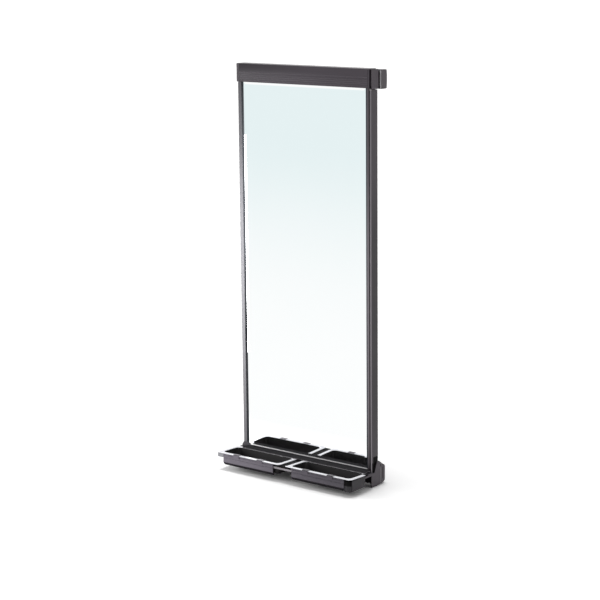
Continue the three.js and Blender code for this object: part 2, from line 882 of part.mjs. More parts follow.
// Top cover: ribbed face, slot for the glass, and a body open to the back.
const zCoverTop = zCover + coverHeight;
const yCoverFront = yLeafFront - coverProud;
const yWeb = yGlassBack + fit;
function coverOutline() {
  const strip = (share, width, proud) => {
    const z = zCover + share * coverHeight;
    return [
      [yCoverFront, z - width / 2],
      [yCoverFront - proud, z - width / 4],
      [yCoverFront - proud, z + width / 4],
      [yCoverFront, z + width / 2],
    ];
  };
  const face = [
    ...coverRibShares.flatMap((share) => strip(share, coverRib, coverRibProud)),
    ...strip(coverBeadShare, coverBead, coverBeadProud),
  ];
  return [
    [yCoverFront, zCover],
    ...face,
    ...arc(yCoverFront + coverWall, zCoverTop - coverWall, coverWall, 180, 90, 3),
    [yLeafBack, zCoverTop],
    [yLeafBack, zCoverTop - coverWall],
    [yWeb + coverWall, zCoverTop - coverWall],
    [yWeb + coverWall, zCover + coverWall],
    [yLeafBack, zCover + coverWall],
    [yLeafBack, zCover],
    [yWeb, zCover],
    [yWeb, zCover + glassBite + fit],
    [grooveFront, zCover + glassBite + fit],
    [grooveFront, zCover],
  ].reverse();
}
const coverHollow = roundedOutline(
  grooveFront,
  yWeb,
  zCover + glassBite + fit + coverWall,
  zCoverTop - coverWall,
  [0, 0, 0, 0],
).reverse();
const xCoverLeft = xLeft - coverOverhang;
const xCoverRight = xRight - coverRightInset;
const xCoverFaceLeft = xCoverLeft + coverCapWidth + fit;
const xCoverFaceRight = xCoverRight - coverRightCapWidth - fit;
piece("top_cover", alongX(coverOutline(), xCoverFaceLeft, xCoverFaceRight, [coverHollow]), "frame");

const coverCapOutline = roundedOutline(
  yCoverFront,
  yLeafBack,
  zCover,
  zCoverTop,
  [0, 0, coverWall, coverWall],
  3,
);
piece("cover_left_cap", alongX(coverCapOutline, xCoverLeft, xCoverLeft + coverCapWidth), "capPlastic");
piece(
  "cover_right_cap",
  alongX(coverCapOutline, xCoverRight - coverRightCapWidth, xCoverRight),
  "frame",
);

// Steel striker inside the cover, where the catch's magnet meets it.
piece(
  "catch_striker",
  box(xCatch, xCatch + catchLength, yWeb + coverWall + fit, yLeafBack - fit, catchLow, catchHigh),
  "steel",
);

// Hanger along the sill, a channel that holds the trays' back edges, and the frame under the trays.
const zHanger = sightBottom - hangerDrop;
const yHangerBack = ySillFront - fit;
const yHangerFront = yHangerBack - hangerDepth;
const xTrays = [-1, 1].map((side) => trayShift + (side * (trayWidth + trayGap)) / 2);
const xPairLeft = xTrays[0] - trayWidth / 2;
const xPairRight = xTrays[1] + trayWidth / 2;
const yTrayBack = yHangerFront + hangerUnderRim;
const yTrayFront = yTrayBack - trayDepth;
const tilt = THREE.MathUtils.degToRad(-trayTilt);
const zUpperFlange = zHanger + 2 * fit + rimThickness + flangeOverRim * Math.sin(-tilt);
const hangerShelf = box(
  xPairLeft + hangerInset,
  xPairRight - hangerInset,
  yHangerFront,
  yHangerBack,
  zHanger - hangerThickness,
  zHanger,
);
const hangerAngle = [
  [yHangerBack, zHanger - hangerThickness],
  [yHangerBack, zUpperFlange + upperFlange],
  [yTrayBack - flangeOverRim, zUpperFlange + upperFlange],
  [yTrayBack - flangeOverRim, zUpperFlange],
  [yHangerBack - hangerThickness, zUpperFlange],
  [yHangerBack - hangerThickness, zHanger - hangerThickness],
];
const angleEnds = [xLeft + upperFlangeLeftInset, xRight - upperFlangeRightInset];
piece("tray_hanger", join([hangerShelf, alongX(hangerAngle, ...angleEnds)]), "frameLight");

const yPanelBack = yTrayFront + panelThickness;
const yBarFront = yPanelBack + fit;
const zArmTop = zHanger - hangerThickness - fit;
const zArm = zArmTop - armHeight;
const zPanelTop = zHanger + Math.sin(-tilt) * trayDepth;
const armInset = panelThickness + fit;
const arm = (x0, width) => box(x0, x0 + width, yBarFront, yHangerBack, zArm, zArmTop);
const frontBar = box(
  xPairLeft + armInset,
  xPairRight - armInset,
  yBarFront,
  yBarFront + frontBarDepth,
  zArm,
  zArmTop,
);
const frameCorner = rimCorner - armInset;
const framePlan = alongZ(
  roundedOutline(
    xPairLeft + armInset,
    xPairRight - armInset,
    yBarFront,
    yHangerBack + fit,
    [0, frameCorner, 0, 0],
  ),
  zArm - fit,
  zArmTop + fit,
);
const trayFrame = join([
  arm(xPairLeft + armInset, armWidth),
  arm(trayShift - middleArmWidth / 2, middleArmWidth),
  arm(xPairRight - armInset - armWidth, armWidth),
  frontBar,
]);
piece("tray_frame", trim(trayFrame, framePlan), "frameLight");

// One tray. Its group's origin is the middle of the rim's back edge, at the rim's underside.
const trayRing = (inset, corner, z, frontLeft = corner) =>
  roundedOutline(
    -trayWidth / 2 + inset,
    trayWidth / 2 - inset,
    -trayDepth + inset,
    -inset,
    [frontLeft, corner, corner, corner],
    traySteps,
  ).map(([x, y]) => [x, y, z]);

function buildTub() {
  const outerTop = rimWidth - trayWall;
  const bottom = -trayHeight;
  const outside = loft([
    trayRing(outerTop + trayDraft, rimInnerCorner + trayWall, bottom),
    trayRing(outerTop, rimInnerCorner + trayWall, -fit),
  ]);
  const inside = loft([
    trayRing(rimWidth + trayDraft, rimInnerCorner, bottom + trayWall),
    trayRing(rimWidth, rimInnerCorner, -fit + (through * trayDraft) / trayHeight),
  ]);
  return cut(outside, [inside]);
}

// A tray's flat rim. At the pair's free end a skirt hangs from it.
function buildRim(hasSkirt) {
  const flat = (ring) => ring.map(([x, y]) => [x, y]);
  const edge = flat(trayRing(0, rimCorner, 0, rimSharpCorner));
  const ring = alongZ(edge, 0, rimThickness, [flat(trayRing(rimWidth, rimInnerCorner, 0)).reverse()]);
  if (!hasSkirt) {
    return ring;
  }
  const insideCorners = [rimCorner - skirtThickness, 0, rimSharpCorner - skirtThickness];
  const skirtBand = alongZ(edge, -skirtHeight, fit, [
    flat(trayRing(skirtThickness, ...insideCorners)).reverse(),
  ]);
  const keepOff = [
    box(
      -trayWidth / 2 + panelInset - fit,
      trayWidth,
      -trayDepth - through,
      through,
      -skirtHeight - through,
      0,
    ),
    box(-trayWidth, trayWidth, -skirtBackGap, through, -skirtHeight - through, 0),
  ];
  return cut(join([ring, skirtBand]), keepOff);
}

function buildLiner() {
  const inset = rimWidth + trayDraft + linerMargin;
  const z = trayWall - trayHeight + fit;
  return loft([trayRing(inset, rimInnerCorner, z), trayRing(inset, rimInnerCorner, z + linerThickness)]);
}

// Front panel with the two clips that hook over the rim.
const panelWidth = trayWidth - 2 * panelInset;
function buildPanel() {
  const low = -fit - panelFace;
  const yBack = panelThickness - trayDepth;
  const grooves = [...panelGrooveShares].reverse().flatMap((share) => {
    const z = low + share * panelFace;
    return [
      [-trayDepth, z + panelGrooveHeight / 2],
      [panelGroove - trayDepth, z + panelGrooveHeight / 2],
      [panelGroove - trayDepth, z - panelGrooveHeight / 2],
      [-trayDepth, z - panelGrooveHeight / 2],
    ];
  });
  const outline = [
    [yBack, -fit],
    [-trayDepth, -fit],
    ...grooves,
    [-trayDepth, low],
    [panelReturn - trayDepth, low - panelReturnDrop],
    [yBack + panelReturn, low - panelReturnDrop],
    [yBack, low],
  ];
  const yClip = -trayDepth - fit - clipThickness;
  const clipTop = rimThickness + fit;
  const clipOutline = [
    [yClip, -clipDrop],
    [panelThickness / 2 - trayDepth, -clipDrop],
    [panelThickness / 2 - trayDepth, -fit],
    [yClip + clipThickness, -fit],
    [yClip + clipThickness, clipTop],
    [yClip + clipReach, clipTop],
    [yClip + clipReach, clipTop + clipThickness],
    [yClip, clipTop + clipThickness],
  ];
  const clips = clipShares.map((share) => {
    const x = share * panelWidth;
    return alongX(clipOutline, x - clipWidth / 2, x + clipWidth / 2);
  });
  return join([alongX(outline, -panelWidth / 2, panelWidth / 2), ...clips]);
}

for (const [place, xTray, hasSkirt] of [
  ["left", xTrays[0], true],
  ["right", xTrays[1], false],
]) {
  const group = new THREE.Group();
  group.position.set(xTray, yTrayBack, zHanger + fit);
  group.rotation.x = tilt;
  assembly.add(group);
  piece(`${place}_tray`, buildTub(), "blackPlastic", group);
  piece(`${place}_tray_rim`, buildRim(hasSkirt), "rim", group);
  piece(`${place}_tray_liner`, buildLiner(), "felt", group);
  piece(`${place}_tray_panel`, buildPanel(), "trayPanel", group);
}

// Right end of the right tray: side panel, and the rounded post between it and the front panel.
const zPanelLow = zPanelTop - panelFace - panelReturnDrop;
const ySidePanel = yTrayFront + sidePanelFrontGap;
piece(
  "tray_side_panel",
  box(
    xPairRight - panelThickness,
    xPairRight,
    ySidePanel,
    ySidePanel + sidePanelLength,
    zPanelLow,
    zHanger,
  ),
  "trayPanel",
);
const xPost = xTrays[1] + panelWidth / 2 + fit;
const xPostRight = xPairRight - panelThickness / 2;
const yPostBack = ySidePanel - fit;
const postArc = (radius) =>
  arc(
    xPostRight - cornerPostRadius,
    yTrayFront + panelThickness / 2 + cornerPostRadius,
    radius,
    270,
    360,
    5,
  );
const cornerOutline = [
  [xPost, yTrayFront + panelThickness / 2],
  ...postArc(cornerPostRadius),
  [xPostRight, yPostBack + cornerPostWall],
  [xPostRight - cornerPostWall, yPostBack + cornerPostWall],
  ...postArc(cornerPostRadius - cornerPostWall).reverse(),
  [xPost, yTrayFront + panelThickness / 2 + cornerPostWall],
];
const postClear = box(
  xPairRight - panelThickness - fit,
  xPairRight + through,
  ySidePanel - fit,
  ySidePanel + through,
  zPanelLow - through,
  zHanger + through,
);
piece(
  "tray_corner_post",
  cut(alongZ(cornerOutline, zPanelLow, zPanelTop - cornerPostDrop), [postClear, framePlan]),
  "trayPanel",
);

export default assembly;
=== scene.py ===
import json
from math import cos, pi, radians, sin

import bmesh
import bpy
from mathutils import Euler, Matrix, Vector


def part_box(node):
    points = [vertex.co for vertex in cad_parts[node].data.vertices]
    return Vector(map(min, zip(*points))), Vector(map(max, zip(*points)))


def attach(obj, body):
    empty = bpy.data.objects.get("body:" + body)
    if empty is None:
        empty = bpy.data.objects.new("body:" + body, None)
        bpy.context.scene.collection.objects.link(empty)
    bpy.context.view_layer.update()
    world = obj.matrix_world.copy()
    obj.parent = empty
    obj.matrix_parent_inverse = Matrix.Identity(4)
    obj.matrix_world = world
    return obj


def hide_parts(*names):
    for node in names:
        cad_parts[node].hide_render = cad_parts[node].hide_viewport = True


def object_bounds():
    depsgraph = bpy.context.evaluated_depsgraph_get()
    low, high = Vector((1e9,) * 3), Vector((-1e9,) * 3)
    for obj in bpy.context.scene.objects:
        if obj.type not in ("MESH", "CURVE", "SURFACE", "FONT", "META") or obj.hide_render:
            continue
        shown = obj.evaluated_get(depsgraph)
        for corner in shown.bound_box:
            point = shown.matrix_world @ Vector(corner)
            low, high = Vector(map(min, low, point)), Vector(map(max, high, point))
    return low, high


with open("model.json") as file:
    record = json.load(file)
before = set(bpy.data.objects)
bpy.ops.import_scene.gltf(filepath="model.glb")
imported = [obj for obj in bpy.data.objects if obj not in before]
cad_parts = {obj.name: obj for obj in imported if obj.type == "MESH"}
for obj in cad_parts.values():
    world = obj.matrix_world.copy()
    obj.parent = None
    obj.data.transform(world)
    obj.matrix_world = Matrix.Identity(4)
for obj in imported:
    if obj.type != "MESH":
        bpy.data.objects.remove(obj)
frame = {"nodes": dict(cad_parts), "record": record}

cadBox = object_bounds()
mm = 0.001
scene = bpy.context.scene


# Maths in node trees: a Wire is one socket, and sums of Wires add Math nodes
class Wire:
    def __init__(self, nodes, socket):
        self.nodes = nodes
        self.socket = socket

    def __add__(self, other):
        return self.nodes.math("ADD", self, other)

    def __sub__(self, other):
        return self.nodes.math("SUBTRACT", self, other)

    def __rsub__(self, other):
        return self.nodes.math("SUBTRACT", other, self)

    def __mul__(self, other):
        return self.nodes.math("MULTIPLY", self, other)

    __radd__ = __add__
    __rmul__ = __mul__


# A node tree and the one way of adding nodes to it
class NodeTree:
    def __init__(self, tree):
        self.tree = tree

    def join(self, value, socket):
        if isinstance(value, Wire):
            self.tree.links.new(value.socket, socket)
        elif value is not None:
            socket.default_value = value

    def node(self, kind, settings=None, *values, out=0, **named):
        made = self.tree.nodes.new(kind)
        for key, value in (settings or {}).items():
            setattr(made, key, value)
        for socket, value in zip(made.inputs, values):
            self.join(value, socket)
        for socketName, value in named.items():
            self.join(value, made.inputs[socketName])
        return Wire(self, made.outputs[out])

    def math(self, operation, *values):
        return self.node("ShaderNodeMath", {"operation": operation}, *values)


# One material, on the piece's own coordinates
class Finish(NodeTree):
    def __init__(self, name, roughness, metallic=0.0, **fixed):
        self.material = bpy.data.materials.new(name)
        self.material.use_nodes = True
        super().__init__(self.material.node_tree)
        self.shader = self.tree.nodes["Principled BSDF"]
        fixed.update({"Roughness": roughness, "Metallic": metallic})
        for socketName, value in fixed.items():
            self.shader.inputs[socketName.replace("_", " ")].default_value = value
        self.place = self.node("ShaderNodeTexCoord", out="Object")

    def stretched(self, scale):
        return self.node("ShaderNodeMapping", Vector=self.place, Scale=scale)

    def noise(self, scale, stretch=(1, 1, 1), detail=2.0, rough=0.5):
        return self.node("ShaderNodeTexNoise", Vector=self.stretched(stretch), Scale=scale,
                         Detail=detail, Roughness=rough)

    def along(self, axis):
        return self.node("ShaderNodeSeparateXYZ", None, self.place, out=axis)

    def smooth(self, value, start, end, low=0.0, high=1.0):
        return self.node("ShaderNodeMapRange", {"interpolation_type": "SMOOTHSTEP"},
                         value, start, end, low, high)

    def tint(self, share, dark, light):  # a Mix node's colours are inputs 6 and 7 and output 2
        values = [share, *[None] * 5, dark, light]
        return self.node("ShaderNodeMix", {"data_type": "RGBA"}, *values, out=2)

    def feed(self, socketName, value):
        self.join(value, self.shader.inputs[socketName])

    def colour(self, share, dark, light):
        self.feed("Base Color", self.tint(share, dark, light))

    def bump(self, height, depth, strength):
        relief = self.node("ShaderNodeBump", Strength=strength, Distance=depth, Height=height)
        self.feed("Normal", relief)


def tone(red, green, blue):  # screen colour, 0 to 255, to a shader's linear colour
    parts = [value / 255 for value in (red, green, blue)]
    linear = [p / 12.92 if p <= 0.04045 else ((p + 0.055) / 1.055) ** 2.4 for p in parts]
    return (*linear, 1.0)


# Materials. Drawn metal's grain is stretched along one axis
axisStretch = {"x": (0.012, 1, 1), "y": (1, 0.012, 1), "z": (1, 1, 0.012)}


def paintedLightBand(finish, low, high, fade):  # 1 between two heights, fading out past them: the mask of a band of painted light and shade
    z = finish.along("Z")
    return finish.smooth(z, low - fade, low) * finish.smooth(z, high, high + fade, 1.0, 0.0)


def paintedLightFade(finish, left, right):  # 1 at the left, falling to 0 at the right: the mask of light and shade painted from the left
    return finish.smooth(finish.along("X"), left, right, 1.0, 0.0)


anodisedStyle = {
    "metallic": 0.55, "coat": 0.12, "coatRoughness": 0.3,
    "grainScale": 900, "grainDetail": 4, "grainRough": 0.6, "cloudScale": 9, "cloudDetail": 3,
    "grainShare": 0.75, "cloudShare": 0.5, "shareDrop": 0.12,
    "mottleShare": 0.35, "bandShare": 0.55, "fadeShare": 0.6,
    "roughDrop": 0.08, "roughSpread": 0.16, "depth": 0.00002, "strength": 0.5,
}


# Drawn aluminium, grain along one axis; light and shade can be painted on it in a band of heights
# and as a fade from the left
def anodised(name, along, dark, light, roughness=0.38, band=None, fade=None):
    a = anodisedStyle
    finish = Finish(name, roughness, a["metallic"], Coat_Weight=a["coat"],
                    Coat_Roughness=a["coatRoughness"])
    grain = finish.noise(a["grainScale"], axisStretch[along], a["grainDetail"], a["grainRough"])
    cloud = finish.noise(a["cloudScale"], detail=a["cloudDetail"])
    share = grain * a["grainShare"] + cloud * a["cloudShare"] - a["shareDrop"]
    if band:
        share = share * a["mottleShare"] + paintedLightBand(finish, *band) * a["bandShare"]
    if fade:
        share = share * a["mottleShare"] + paintedLightFade(finish, *fade) * a["fadeShare"]
    finish.colour(share, dark, light)
    finish.feed("Roughness", roughness - a["roughDrop"] + grain * a["roughSpread"])
    finish.bump(grain, a["depth"], a["strength"])
    return finish.material


steelStyle = {
    "roughness": 0.28, "grainScale": 700, "grainDetail": 4, "spangleScale": 60, "spangleDetail": 3,
    "dark": tone(168, 171, 176), "light": tone(214, 216, 219),
    "roughFrom": 0.2, "roughSpread": 0.2, "depth": 0.00001, "strength": 0.4,
}


def platedSteel(name, along):
    t = steelStyle
    finish = Finish(name, t["roughness"], 1.0)
    grain = finish.noise(t["grainScale"], axisStretch[along], t["grainDetail"])
    spangle = finish.noise(t["spangleScale"], detail=t["spangleDetail"])
    finish.colour(spangle, t["dark"], t["light"])
    finish.feed("Roughness", t["roughFrom"] + grain * t["roughSpread"])
    finish.bump(grain, t["depth"], t["strength"])
    return finish.material


plasticStyle = {
    "sparkScale": 2600, "cloudScale": 30, "roughDrop": 0.06, "roughSpread": 0.12,
    "depth": 0.00004, "strength": 0.5,
}


def mouldedPlastic(name, dark, light, roughness, gloss=0.3):
    t = plasticStyle
    finish = Finish(name, roughness, 0.0, Specular_IOR_Level=gloss)
    spark = finish.noise(t["sparkScale"])
    cloud = finish.noise(t["cloudScale"])
    finish.colour(cloud, dark, light)
    finish.feed("Roughness", roughness - t["roughDrop"] + cloud * t["roughSpread"])
    finish.bump(spark, t["depth"], t["strength"])
    return finish.material


rubberStyle = {
    "roughness": 0.7, "gloss": 0.1, "dark": tone(14, 17, 22),
    "chalkScale": 220, "chalkStretch": (1, 1, 0.05), "chalkDetail": 3,
    "chalkShare": 0.25, "bandShare": 0.7, "depth": 0.00003, "strength": 0.5,
}


def rubberStrip(name, light, band):  # paler in a band of heights: a painted highlight
    t = rubberStyle
    finish = Finish(name, t["roughness"], 0.0, Specular_IOR_Level=t["gloss"])
    chalk = finish.noise(t["chalkScale"], t["chalkStretch"], t["chalkDetail"])
    share = chalk * t["chalkShare"] + paintedLightBand(finish, *band) * t["bandShare"]
    finish.colour(share, t["dark"], light)
    finish.bump(chalk, t["depth"], t["strength"])
    return finish.material


silverStyle = {
    "roughness": 0.015, "veilScale": 6, "dark": tone(252, 254, 254), "light": tone(254, 255, 255),
    "roughFrom": 0.01, "roughSpread": 0.01,
}


def silveredGlass(name):
    t = silverStyle
    finish = Finish(name, t["roughness"], 1.0)
    veil = finish.noise(t["veilScale"])
    finish.colour(veil, t["dark"], t["light"])
    finish.feed("Roughness", t["roughFrom"] + veil * t["roughSpread"])
    return finish.material


backingStyle = {
    "roughness": 0.75, "rollerScale": 420, "rollerDetail": 5, "rollerRough": 0.65,
    "cloudScale": 5, "cloudDetail": 3, "dark": tone(50, 48, 51), "light": tone(72, 69, 72),
    "depth": 0.00012, "strength": 0.6,
}


def backingPaint(name):
    t = backingStyle
    finish = Finish(name, t["roughness"], 0.0)
    roller = finish.noise(t["rollerScale"], detail=t["rollerDetail"], rough=t["rollerRough"])
    cloud = finish.noise(t["cloudScale"], detail=t["cloudDetail"])
    finish.colour(cloud, t["dark"], t["light"])
    finish.bump(roller, t["depth"], t["strength"])
    return finish.material


satinStyle = {
    "roughness": 0.3, "metallic": 0.3, "coat": 0.2, "coatRoughness": 0.25,
    "grainScale": 500, "grainDetail": 4, "roughFrom": 0.24, "roughSpread": 0.12,
    "depth": 0.00001, "strength": 0.4,
}


def satinRim(name, dark, light):
    t = satinStyle
    finish = Finish(name, t["roughness"], t["metallic"], Coat_Weight=t["coat"],
                    Coat_Roughness=t["coatRoughness"])
    grain = finish.noise(t["grainScale"], detail=t["grainDetail"])
    finish.colour(grain, dark, light)
    finish.feed("Roughness", t["roughFrom"] + grain * t["roughSpread"])
    finish.bump(grain, t["depth"], t["strength"])
    return finish.material


feltStyle = {
    "roughness": 0.95, "sheen": 0.35, "sheenRoughness": 0.5,
    "fibreScale": 1900, "fibreDetail": 6, "fibreRough": 0.75, "napScale": 70, "napDetail": 3,
    "fibreShare": 0.7, "napShare": 0.4, "shareDrop": 0.1,
    "dark": tone(24, 20, 22), "light": tone(54, 46, 48), "depth": 0.00025, "strength": 0.8,
}


def feltMat(name):
    t = feltStyle
    finish = Finish(name, t["roughness"], 0.0, Sheen_Weight=t["sheen"],
                    Sheen_Roughness=t["sheenRoughness"])
    fibre = finish.noise(t["fibreScale"], detail=t["fibreDetail"], rough=t["fibreRough"])
    nap = finish.noise(t["napScale"], detail=t["napDetail"])
    share = fibre * t["fibreShare"] + nap * t["napShare"] - t["shareDrop"]
    finish.colour(share, t["dark"], t["light"])
    finish.bump(fibre, t["depth"], t["strength"])
    return finish.material


nylonStyle = {
    "roughness": 0.45, "depthOfLight": 0.1, "cloudScale": 90,
    "dark": tone(206, 200, 186), "light": tone(226, 222, 210), "depth": 0.00002, "strength": 0.5,
}


def naturalNylon(name):
    t = nylonStyle
    finish = Finish(name, t["roughness"], 0.0, Subsurface_Weight=t["depthOfLight"])
    cloud = finish.noise(t["cloudScale"])
    finish.colour(cloud, t["dark"], t["light"])
    finish.bump(cloud, t["depth"], t["strength"])
    return finish.material


# The finishes and the two tones that each runs between. Bands and fades are painted light and
# shade, in metres
mochaDark, mochaLight = tone(50, 44, 50), tone(70, 63, 70)
greyDark, greyLight = tone(88, 84, 87), tone(112, 108, 111)
materials = {
    # right stile's front face, lighter in a band of heights: painted highlight
    "stileFrontPaintedHighlight": anodised("stileFrontFacePaintedHighlight", "z", tone(62, 56, 61), tone(120, 114, 119),
                           band=(0.3, 0.62, 0.4)),
    # the right stile's bead: painted highlight
    "beadPaintedHighlight": anodised("beadPaintedHighlight", "z", tone(112, 106, 112), tone(142, 137, 142),
                          roughness=0.3),
    # light grey on the sill's top: painted highlight
    "ledgePaintedHighlight": anodised("ledgePaintedHighlight", "x", tone(138, 136, 138), tone(160, 158, 160)),
    "sillShade": mouldedPlastic("sillShade", tone(40, 40, 42), tone(56, 55, 57), 0.9, gloss=0.0),
    # left stile, lighter in a band of heights: painted highlight
    "greyStilePaintedHighlight": anodised("greyStilePaintedHighlight", "z", tone(62, 59, 63), tone(128, 127, 131),
                          band=(0.22, 0.72, 0.34)),
    # the hanger's front edge: painted highlight
    "flangeEdgePaintedHighlight": anodised("flangeEdgePaintedHighlight", "x", tone(92, 88, 92), tone(116, 112, 116)),
    # the tray frame's bars in a lighter grey: painted highlight
    "barGreyPaintedHighlight": anodised("barGreyPaintedHighlight", "x", tone(118, 114, 118), tone(146, 142, 146)),
    "panelShade": mouldedPlastic("panelShade", tone(26, 24, 28), tone(38, 35, 40), 0.6,
                                 gloss=0.05),
    # light grey on the bottom end cap's top and the lower plate's end: painted highlight
    "capTopPaintedHighlight": mouldedPlastic("capTopPaintedHighlight", tone(140, 136, 138), tone(160, 156, 158), 0.5),
    # near-black plastic put where there is only shade: painted shade
    "pitchPaintedShade": mouldedPlastic("pitchPlasticPaintedShade", tone(12, 11, 12), tone(20, 18, 20), 0.65, gloss=0.05),
    # near-white on the top plate's front by its end: painted highlight
    "plateEdgePaintedHighlight": satinRim("plateEdgePaintedHighlight", tone(236, 234, 238), tone(250, 249, 252)),
    "mochaX": anodised("mochaAlongX", "x", mochaDark, mochaLight),
    "mochaZ": anodised("mochaAlongZ", "z", mochaDark, mochaLight),
    "greyX": anodised("greyAlongX", "x", greyDark, greyLight),
    # tray front panels, lighter towards the left: painted light
    "lilacPaintedLightX": anodised("lilacAlongXPaintedLight", "x", tone(52, 48, 55), tone(116, 110, 120), roughness=0.34,
                       fade=(-0.3, 0.26)),
    # the top cover, darker towards the left: painted shade
    "coverPaintedShadeX": anodised("coverAlongXPaintedShade", "x", mochaLight, tone(30, 25, 30), fade=(-0.3, 0.05)),
    # lighter on the cover bead's upper faces: painted highlight
    "coverLinePaintedHighlight": anodised("coverLinePaintedHighlight", "x", tone(84, 78, 84), tone(100, 94, 100)),
    # right stile's side face, darker in a band of heights: painted shade
    "stileSidePaintedShade": anodised("stileSideFacePaintedShade", "z", tone(60, 54, 60), tone(20, 16, 20),
                          band=(0.25, 0.7, 0.25)),
    # dark lilac for faces turned from the light: painted shade
    "sideLilacPaintedShade": anodised("lilacAlongYPaintedShade", "y", tone(28, 26, 29), tone(42, 39, 44), roughness=0.45),
    "steel": platedSteel("platedSteel", "x"),
    "greyCap": mouldedPlastic("greyCapPlastic", tone(72, 67, 73), tone(90, 85, 90), 0.5),
    "blackPlastic": mouldedPlastic("blackTrayPlastic", tone(17, 15, 17), tone(27, 25, 27), 0.6),
    "nylon": naturalNylon("naturalNylon"),
    # the glass seals, paler in a band of heights: painted highlight
    "rubber": rubberStrip("glazingRubberPaintedHighlight", tone(62, 68, 78), band=(0.2, 1.1, 0.2)),
    "leftRubberPaintedHighlight": rubberStrip("leftGlazingRubberPaintedHighlight", tone(134, 138, 144), band=(0.68, 0.9, 0.3)),
    "glass": silveredGlass("silveredGlass"),
    "board": backingPaint("backingPaint"),
    "rim": satinRim("satinRim", tone(212, 212, 218), tone(232, 232, 237)),
    # the rim's turned-down edge, a darker copy of the rim's satin: painted shade
    "skirt": satinRim("satinSkirtPaintedShade", tone(122, 122, 126), tone(144, 144, 148)),
    "footPlastic": mouldedPlastic("footPlastic", tone(58, 55, 60), tone(78, 74, 80), 0.5),
    "felt": feltMat("feltMat"),
}
print("materials ready:", len(materials))


# Mesh helpers
meshStyle = {
    "weld": 1e-6, "cadWeld": 2e-6, "flatDegrees": 0.8,
    "creaseDegrees": 32, "glassDegrees": 0.5, "fastenerDegrees": 40,
    "bendSteps": 5, "bevelSegments": 3,
    "bendShare": 0.49,  # the most of a side that a bend takes
}
record = frame["record"]
bodyOf = {node: body for body, nodes in record["behaviour"]["bodies"].items() for node in nodes}


def added(name, mesh, material, body, sharp=meshStyle["creaseDegrees"]):
    mesh.materials.clear()
    mesh.materials.append(materials[material])
    mesh.shade_smooth()
    mesh.set_sharp_from_angle(angle=radians(sharp))
    piece = bpy.data.objects.new(name, mesh)
    scene.collection.objects.link(piece)
    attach(piece, body)
    return piece


# A piece that stands for CAD nodes, on their body, with the nodes hidden
def replacing(nodes, name, mesh, material, sharp=meshStyle["creaseDegrees"]):
    piece = added(name, mesh, material, bodyOf[nodes[0]], sharp)
    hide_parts(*nodes)
    return piece


def softenEdges(piece, width, segments=meshStyle["bevelSegments"]):
    bevel = piece.modifiers.new("softEdges", "BEVEL")
    bevel.width = width
    bevel.segments = segments
    bevel.limit_method = "ANGLE"
    bevel.angle_limit = radians(meshStyle["creaseDegrees"])
    bevel.harden_normals = True


def meshFrom(points, faces, transform=None):  # doubles merged and faces outwards
    mesh = bpy.data.meshes.new("piece")
    mesh.from_pydata(points, [], faces)
    if transform:
        mesh.transform(transform)
    work = bmesh.new()
    work.from_mesh(mesh)
    bmesh.ops.remove_doubles(work, verts=work.verts, dist=meshStyle["weld"])
    bmesh.ops.recalc_face_normals(work, faces=work.faces)
    work.to_mesh(mesh)
    work.free()
    return mesh


def cadCopy(node):  # a CAD node's shape as a merged mesh with whole flat faces
    mesh = bpy.data.meshes.new(node)
    work = bmesh.new()
    work.from_mesh(frame["nodes"][node].data)
    bmesh.ops.remove_doubles(work, verts=work.verts, dist=meshStyle["cadWeld"])
    bmesh.ops.dissolve_limit(work, angle_limit=radians(meshStyle["flatDegrees"]), verts=work.verts,
                             edges=work.edges)
    work.to_mesh(mesh)
    work.free()
    return mesh


def dressed(node, material, edge):  # the CAD shape with rounded edges and its finish
    softenEdges(replacing([node], node + "_dressed", cadCopy(node), material), edge)


def paintFaces(piece, material, chosen):  # another finish for the faces that chosen picks
    mesh = piece.data
    mesh.materials.append(materials[material])
    for face in mesh.polygons:
        if chosen(face.center, face.normal):
            face.material_index = len(mesh.materials) - 1


def split(piece, axis, place):  # an edge loop where a plane square to the axis cuts the piece
    normal = Vector([float(axis == name) for name in "xyz"])
    work = bmesh.new()
    work.from_mesh(piece.data)
    parts = work.verts[:] + work.edges[:] + work.faces[:]
    bmesh.ops.bisect_plane(work, geom=parts, plane_co=normal * place, plane_no=normal,
                           dist=meshStyle["weld"])
    work.to_mesh(piece.data)
    work.free()


def arcPoints(cu, cv, radius, start, end, steps):
    turns = [radians(start + (end - start) * i / steps) for i in range(steps + 1)]
    return [(cu + radius * cos(t), cv + radius * sin(t)) for t in turns]


def roundedPath(points, radius):  # an open polyline with rounded corners
    share, steps = meshStyle["bendShare"], meshStyle["bendSteps"]
    path = [Vector(points[0])]
    for before, corner, after in zip(points, points[1:], points[2:]):
        corner = Vector(corner)
        inward, onward = Vector(before) - corner, Vector(after) - corner
        reach = min(radius, inward.length * share, onward.length * share)
        start, end = corner + inward.normalized() * reach, corner + onward.normalized() * reach
        for i in range(steps + 1):
            t = i / steps
            path.append(start * (1 - t) ** 2 + corner * 2 * t * (1 - t) + end * t ** 2)
    return path + [Vector(points[-1])]


def offsetAt(path, i, distance):  # from a path's point, square to the way that it runs there
    ahead = path[min(i + 1, len(path) - 1)] - path[max(i - 1, 0)]
    return Vector((-ahead.y, ahead.x)).normalized() * distance


def sheetSection(points, thickness, radius):  # outline of bent sheet: a path with a thickness
    path = roundedPath(points, radius)
    offsets = [offsetAt(path, i, thickness / 2) for i in range(len(path))]
    outer = [point + offset for point, offset in zip(path, offsets)]
    inner = [point - offset for point, offset in zip(path, offsets)]
    return outer + inner[::-1]


def extrudedX(section, x0, x1, transform=None):  # a (y, z) section from x0 to x1
    rings = [[(x, y, z) for y, z in section] for x in (x0, x1)]
    return loftRings(rings, transform)


